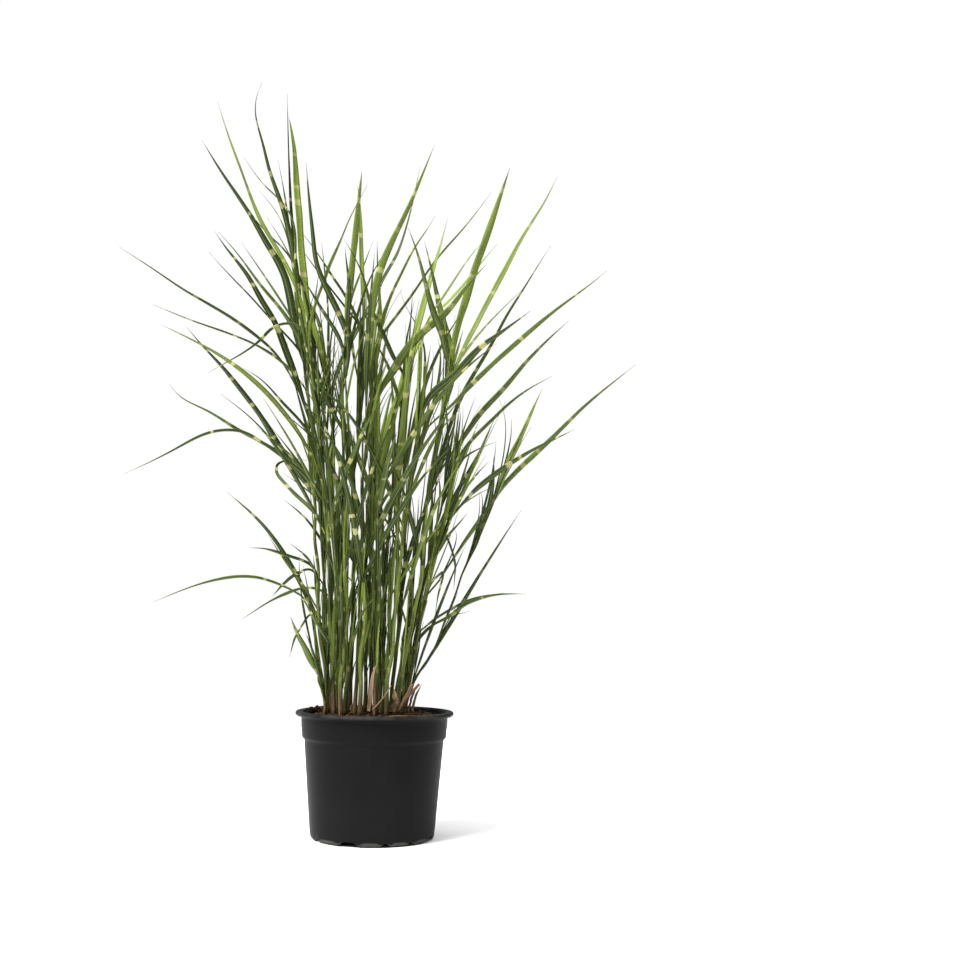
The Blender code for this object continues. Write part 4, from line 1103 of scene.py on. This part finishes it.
class Shade:
    """Short calls for a material's nodes. A number or a socket may be given for any input."""

    def __init__(self, name, roughness, gloss=0.13):
        self.material = bpy.data.materials.new(name)
        self.material.use_nodes = True
        self.tree = self.material.node_tree
        self.bsdf = self.tree.nodes["Principled BSDF"]
        self.bsdf.inputs["Roughness"].default_value = roughness
        self.bsdf.inputs["Specular IOR Level"].default_value = gloss

    def put(self, socket, value):
        if isinstance(value, bpy.types.NodeSocket):
            self.tree.links.new(value, socket)
        elif isinstance(value, tuple) and len(value) == 3 and socket.type == "RGBA":
            socket.default_value = (*value, 1.0)
        else:
            socket.default_value = value

    def node(self, kind, inputs, **settings):
        node = self.tree.nodes.new(kind)
        for key, value in settings.items():
            setattr(node, key, value)
        for key, value in inputs.items():
            self.put(node.inputs[key], value)
        return node

    def math(self, operation, a, b=0.0, c=0.0):
        return self.node("ShaderNodeMath", {0: a, 1: b, 2: c}, operation=operation).outputs[0]

    def add(self, a, b):
        return self.math("ADD", a, b)

    def mul(self, a, b):
        return self.math("MULTIPLY", a, b)

    def mul_add(self, a, b, c):
        return self.math("MULTIPLY_ADD", a, b, c)

    def fraction(self, a, turns):
        return self.math("FRACT", self.mul(a, turns))

    def ramp(self, value, low, high):
        """0 below low, 1 above high, smooth between; low may be above high."""
        inputs = {"Value": value, "From Min": low, "From Max": high}
        node = self.node("ShaderNodeMapRange", inputs, interpolation_type="SMOOTHSTEP", clamp=True)
        return node.outputs["Result"]

    def mix(self, factor, a, b):
        return self.node("ShaderNodeMix", {0: factor, 6: a, 7: b}, data_type="RGBA").outputs[2]

    def tint(self, mask, share, other):
        """Gives the colour this share of another where the mask is 1."""
        self.color = self.mix(self.mul(mask, share), self.color, other)

    def split(self, vector):
        return self.node("ShaderNodeSeparateXYZ", {0: vector}).outputs

    def surface(self, layer):
        return self.split(self.node("ShaderNodeUVMap", {}, uv_map=layer).outputs[0])[:2]

    def place(self):
        return self.node("ShaderNodeTexCoord", {}).outputs["Object"]

    def vector(self, x, y, z=0.0):
        return self.node("ShaderNodeCombineXYZ", {0: x, 1: y, 2: z}).outputs[0]

    def noise(self, vector, scale=1.0, detail=2.0, rough=0.5):
        inputs = {"Vector": vector, "Scale": scale, "Detail": detail, "Roughness": rough}
        return self.node("ShaderNodeTexNoise", inputs).outputs[0]

    def stretched(self, *axes):
        """A function that gives noise stretched along these axes by the numbers it gets."""
        def noise(*sizes, scale=1.0, detail=2.0):
            return self.noise(self.vector(*map(self.mul, axes, sizes)), scale, detail)
        return noise

    def bands(self, u, s, seed, cell, wide):
        """Pale cross-bands at uneven distances, ragged along the veins: 1 on a band, 0 between."""
        vein = self.math("FLOOR", self.mul(u, 15.0))
        where = self.vector(self.mul_add(vein, 3.7, self.mul(seed, 97.0)), self.mul(s, 55.0))
        ragged = self.mul(self.math("SUBTRACT", self.noise(where), 0.5), 0.0065)
        cells = self.math("DIVIDE", self.add(s, ragged), cell)
        inputs = {"W": self.mul_add(seed, 83.0, cells), "Scale": 1.0, "Randomness": 0.85}
        node = self.node("ShaderNodeTexVoronoi", inputs, voronoi_dimensions="1D")
        pick = self.node("ShaderNodeSeparateColor", {0: node.outputs["Color"]}).outputs
        half = self.mul_add(pick[0], wide, wide * 0.7)
        band = self.ramp(self.math("SUBTRACT", half, node.outputs["Distance"]), -0.014, 0.02)
        return self.mul(band, self.ramp(pick[1], 0.2, 0.34))

    def finish(self, rough, height, strength, distance):
        """Sets the colour, roughness and relief of the surface, and gives the material."""
        inputs = {"Height": height, "Strength": strength, "Distance": distance}
        bump = self.node("ShaderNodeBump", inputs).outputs[0]
        for key, value in (("Base Color", self.color), ("Roughness", rough), ("Normal", bump)):
            self.put(self.bsdf.inputs[key], value)
        return self.material


def leaf_material():
    """Green between pale bands, with a pale midrib and edges, some dry tips; it lets light through."""
    m = Shade("zebra_leaf", 0.45)
    u, s = m.surface("coat")
    raw, t = m.surface("tag")
    seed = m.math("FRACT", raw)
    under = m.math("GREATER_THAN", raw, 1.0)
    noise = m.stretched(u, s, seed)
    tone = m.mul_add(noise(1.5, 22.0, 40.0), 0.55, m.mul(m.fraction(seed, TONE_TURNS), 0.8))
    streak = noise(32.0, 9.0, 60.0)
    middle = m.math("ABSOLUTE", m.math("SUBTRACT", u, 0.5))
    # The tone mixed here carries the painted shade and painted light given to the seeds by where a blade
    # grows and which way it leans
    m.color = m.mix(m.ramp(tone, 0.46, 1.12), (0.012, 0.027, 0.005), (0.27, 0.37, 0.05))
    m.tint(m.ramp(streak, 0.45, 0.8), 0.35, (0.22, 0.29, 0.05))
    m.tint(under, 0.3, (0.09, 0.13, 0.045))
    m.tint(m.ramp(middle, 0.075, 0.02), 0.5, (0.32, 0.37, 0.11))
    m.tint(m.ramp(middle, 0.41, 0.49), 0.4, (0.3, 0.35, 0.09))
    show = m.mul_add(m.fraction(seed, 17.9), 0.6, 0.3)
    show = m.mul(show, m.ramp(seed, YOUNG_SEED - 0.02, YOUNG_SEED))
    show = m.add(show, m.mul(m.ramp(seed, YOUNG_SEED, YOUNG_SEED - 0.02), 0.16))
    m.tint(m.bands(u, s, seed, 0.046, 0.06), show, (0.56, 0.56, 0.21))
    m.tint(m.ramp(s, 0.006, 0.0), 0.6, (0.3, 0.32, 0.12))
    m.tint(m.ramp(t, 0.945, 0.985), m.ramp(m.fraction(seed, 3.7), 0.3, 0.5), (0.2, 0.14, 0.06))
    ridge = m.mul_add(m.ramp(middle, 0.09, 0.0), 2.5, m.math("SINE", m.mul(u, 50.0)))
    m.finish(m.mul_add(streak, 0.22, 0.34), m.add(ridge, streak), 0.16, 0.0001)
    glow = m.node("ShaderNodeBsdfTranslucent", {"Color": m.color})
    blend = m.node("ShaderNodeMixShader", {0: 0.2, 1: m.bsdf.outputs[0], 2: glow.outputs[0]})
    m.put(m.tree.nodes["Material Output"].inputs[0], blend.outputs[0])
    return m.material


def culm_material():
    """Streaked green sheaths with broken bands, redder low down and brown at the foot."""
    m = Shade("culm_sheath", 0.42)
    u, s = m.surface("coat")
    seed = m.surface("tag")[0]
    noise = m.stretched(u, s, seed)
    streak = noise(26.0, 14.0, 60.0)
    tone = m.mul_add(noise(2.0, 26.0, 30.0), 0.8, m.mul(m.fraction(seed, CULM_TURNS), 0.5))
    # The tone mixed here carries the painted shade and painted light given to the seeds by where a culm
    # grows
    m.color = m.mix(m.ramp(tone, 0.41, 1.0), (0.004, 0.008, 0.0015), (0.2, 0.255, 0.045))
    m.tint(m.ramp(streak, 0.52, 0.66), 0.6, (0.25, 0.31, 0.06))
    m.tint(m.ramp(streak, 0.47, 0.36), 0.75, (0.008, 0.017, 0.003))
    patch = m.ramp(noise(4.0, 60.0, 1.0), 0.42, 0.6)
    m.tint(m.mul(m.bands(u, s, seed, 0.042, 0.05), patch), 0.75, (0.38, 0.38, 0.11))
    red = m.ramp(noise(1.0, 17.0, 9.0, scale=1.3), 0.56, 0.72)
    m.tint(m.mul(red, m.ramp(s, 0.16, 0.05)), 0.7, (0.1, 0.05, 0.022))
    m.tint(m.ramp(s, 0.15, 0.02), 0.6, (0.06, 0.07, 0.018))
    reach = m.mul_add(m.fraction(seed, 11.0), 0.04, -0.004)
    rise = m.mul_add(m.math("SUBTRACT", streak, 0.5), 0.06, reach)
    husk = m.mix(m.ramp(streak, 0.35, 0.65), (0.03, 0.014, 0.006), (0.19, 0.125, 0.06))
    m.tint(m.ramp(m.math("SUBTRACT", rise, s), -0.012, 0.02), 0.9, husk)
    relief = m.add(streak, m.mul(m.math("SINE", m.mul(u, 88.0)), 0.3))
    return m.finish(m.mul_add(streak, 0.25, 0.32), relief, 0.25, 0.0002)


def dry_material(name, dark, pale):
    """Fibrous dead matter between two colours, stained brown in places."""
    m = Shade(name, 0.8)
    noise = m.stretched(*m.surface("coat"), m.surface("tag")[0])
    fibre = noise(24.0, 30.0, 50.0, detail=3.0)
    m.color = m.mix(m.ramp(fibre, 0.3, 0.72), dark, pale)
    m.tint(m.ramp(noise(1.0, 70.0, 20.0), 0.5, 0.75), 0.6, (0.09, 0.042, 0.022))
    return m.finish(m.mul_add(fibre, 0.2, 0.68), fibre, 0.6, 0.0004)


def soil_material():
    """Dark peat; the seed of a crumb makes it blacker or redder than the ground."""
    m = Shade("peat_soil", 0.95)
    place = m.place()
    coarse = m.noise(place, 120.0, 3.0, 0.6)
    fine = m.noise(place, 900.0, 4.0, 0.7)
    tone = m.fraction(m.surface("tag")[0], 13.0)
    m.color = m.mix(m.ramp(coarse, 0.35, 0.65), (0.008, 0.0035, 0.002), (0.065, 0.027, 0.012))
    m.tint(m.ramp(fine, 0.5, 0.75), 0.7, (0.12, 0.055, 0.025))
    m.tint(m.ramp(tone, 0.35, 0.9), 0.8, (0.004, 0.0028, 0.0022))
    m.tint(m.ramp(tone, 0.2, 0.05), 0.55, (0.11, 0.046, 0.02))
    return m.finish(m.mul_add(fine, 0.25, 0.72), m.add(coarse, fine), 0.8, 0.0012)


def pot_material():
    """Black moulded plastic, scuffed up and down, with a painted highlight on the lip and a painted
    reflection of the floor's light on the foot's pads.
    """
    m = Shade("black_pot_plastic", 0.42, 0.045)
    place = m.place()
    height = m.split(place)[2]
    floor_lit_pads = m.surface("tag")[1]
    cloud = m.noise(place, 9.0, 3.0, 0.55)
    grain = m.noise(place, 1500.0)
    upright = m.node("ShaderNodeMapping", {"Vector": place, "Scale": (60.0, 60.0, 7.0)}).outputs[0]
    scuff = m.ramp(m.noise(upright, 1.0, 4.0, 0.65), 0.6, 0.78)
    m.color = m.mix(m.ramp(cloud, 0.3, 0.7), (0.0056, 0.0057, 0.0058), (0.0084, 0.0083, 0.0082))
    m.tint(scuff, 0.25, (0.018, 0.018, 0.0175))
    # Painted highlight: the lip is made lighter, in mottled patches, where light from above falls on it
    rim = m.mul(m.ramp(height, 0.1448, 0.1475), m.ramp(m.noise(place, 30.0, 3.0, 0.6), 0.3, 0.65))
    m.tint(rim, 0.8, (0.038, 0.038, 0.036))
    # Painted reflection: the foot's rounded pads are made lighter in patches, as if lit from the floor below
    pad_reflection = m.mul(m.ramp(floor_lit_pads, 0.1, 0.9), m.ramp(m.noise(place, 45.0), 0.25, 0.55))
    m.tint(m.mul(pad_reflection, m.ramp(height, 0.0003, 0.0014)), 0.9, (0.058, 0.056, 0.053))
    rough = m.mul_add(scuff, 0.12, m.mul_add(cloud, 0.16, 0.38))
    return m.finish(rough, m.add(grain, m.mul(cloud, 2.0)), 0.12, 0.0004)


def make_studio():
    """White ground and backdrop, a soft light from the upper left and a broad one from above."""
    world = bpy.data.worlds.new("studio")
    bpy.context.scene.world = world
    world.use_nodes = True
    nodes = world.node_tree.nodes
    fill = nodes["Background"]
    backdrop = nodes.new("ShaderNodeBackground")
    for node, strength in ((fill, FILL_LIGHT), (backdrop, 1.0)):
        node.inputs[0].default_value = (1.0, 1.0, 1.0, 1.0)
        node.inputs[1].default_value = strength
    blend = nodes.new("ShaderNodeMixShader")
    path = nodes.new("ShaderNodeLightPath")
    for k, source in enumerate((path.outputs["Is Camera Ray"], fill.outputs[0], backdrop.outputs[0])):
        world.node_tree.links.new(source, blend.inputs[k])
    world.node_tree.links.new(blend.outputs[0], nodes["World Output"].inputs[0])
    mesh = bpy.data.meshes.new("floor")
    edge = [2.0 * math.pi * i / FLOOR_CORNERS for i in range(FLOOR_CORNERS)]
    mesh.from_pydata([(*spot(FLOOR_RADIUS, a), 0.0) for a in edge], [], [tuple(range(FLOOR_CORNERS))])
    m = Shade("studio_floor", 0.9)
    m.bsdf.inputs["Base Color"].default_value = (0.98, 0.98, 0.98, 1.0)
    mesh.materials.append(m.material)
    add_object("floor", mesh)
    for name, place, angle, power in SUNS:
        light = bpy.data.lights.new(name, "SUN")
        light.angle = math.radians(angle)
        light.energy = power
        sun = add_object(name, light)
        sun.location = place
        sun.rotation_euler = (-Vector(place)).to_track_quat("-Z", "Y").to_euler()
    bpy.context.scene.view_settings.view_transform = "Standard"


def make_camera():
    """The photo's viewpoint, for a square frame."""
    yaw, pitch, roll = (math.radians(angle) for angle in (YAW, PITCH, ROLL))
    forward = Vector((-math.sin(yaw) * math.cos(pitch), math.cos(yaw) * math.cos(pitch), math.sin(pitch)))
    right = Vector((math.cos(yaw), math.sin(yaw), 0.0))
    up = right.cross(forward)
    r = right * math.cos(roll) + up * math.sin(roll)
    u = up * math.cos(roll) - right * math.sin(roll)
    matrix = Matrix((r, u, -forward)).transposed().to_4x4()
    matrix.translation = Vector((0.0, -EYE_DISTANCE * MM, EYE_HEIGHT * MM))
    data = bpy.data.cameras.new("camera")
    data.lens = FOCAL_MM
    data.sensor_width = SENSOR_MM
    camera = add_object("camera", data)
    camera.matrix_world = matrix
    bpy.context.scene.camera = camera


leaf = leaf_material()
culm = culm_material()
dry = dry_material("dry_sheath", (0.13, 0.066, 0.034), (0.4, 0.27, 0.16))
cane = dry_material("old_cane", (0.05, 0.027, 0.014), (0.23, 0.145, 0.078))
soil = soil_material()
fibre = dry_material("peat_fibre", (0.08, 0.036, 0.018), (0.28, 0.16, 0.085))
plastic = pot_material()

make_camera()
pieces = make_clump(leaf, culm, dry)
pieces += make_dry_pieces(dry, cane)
pieces.append((make_soil_piece([soil, fibre]), "soil", "soil"))
pieces.append((make_pot_piece(plastic), "pot", "pot"))
for piece, node, slot in pieces:
    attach(piece, "root")
    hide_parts(node)
make_studio()

bpy.context.view_layer.update()
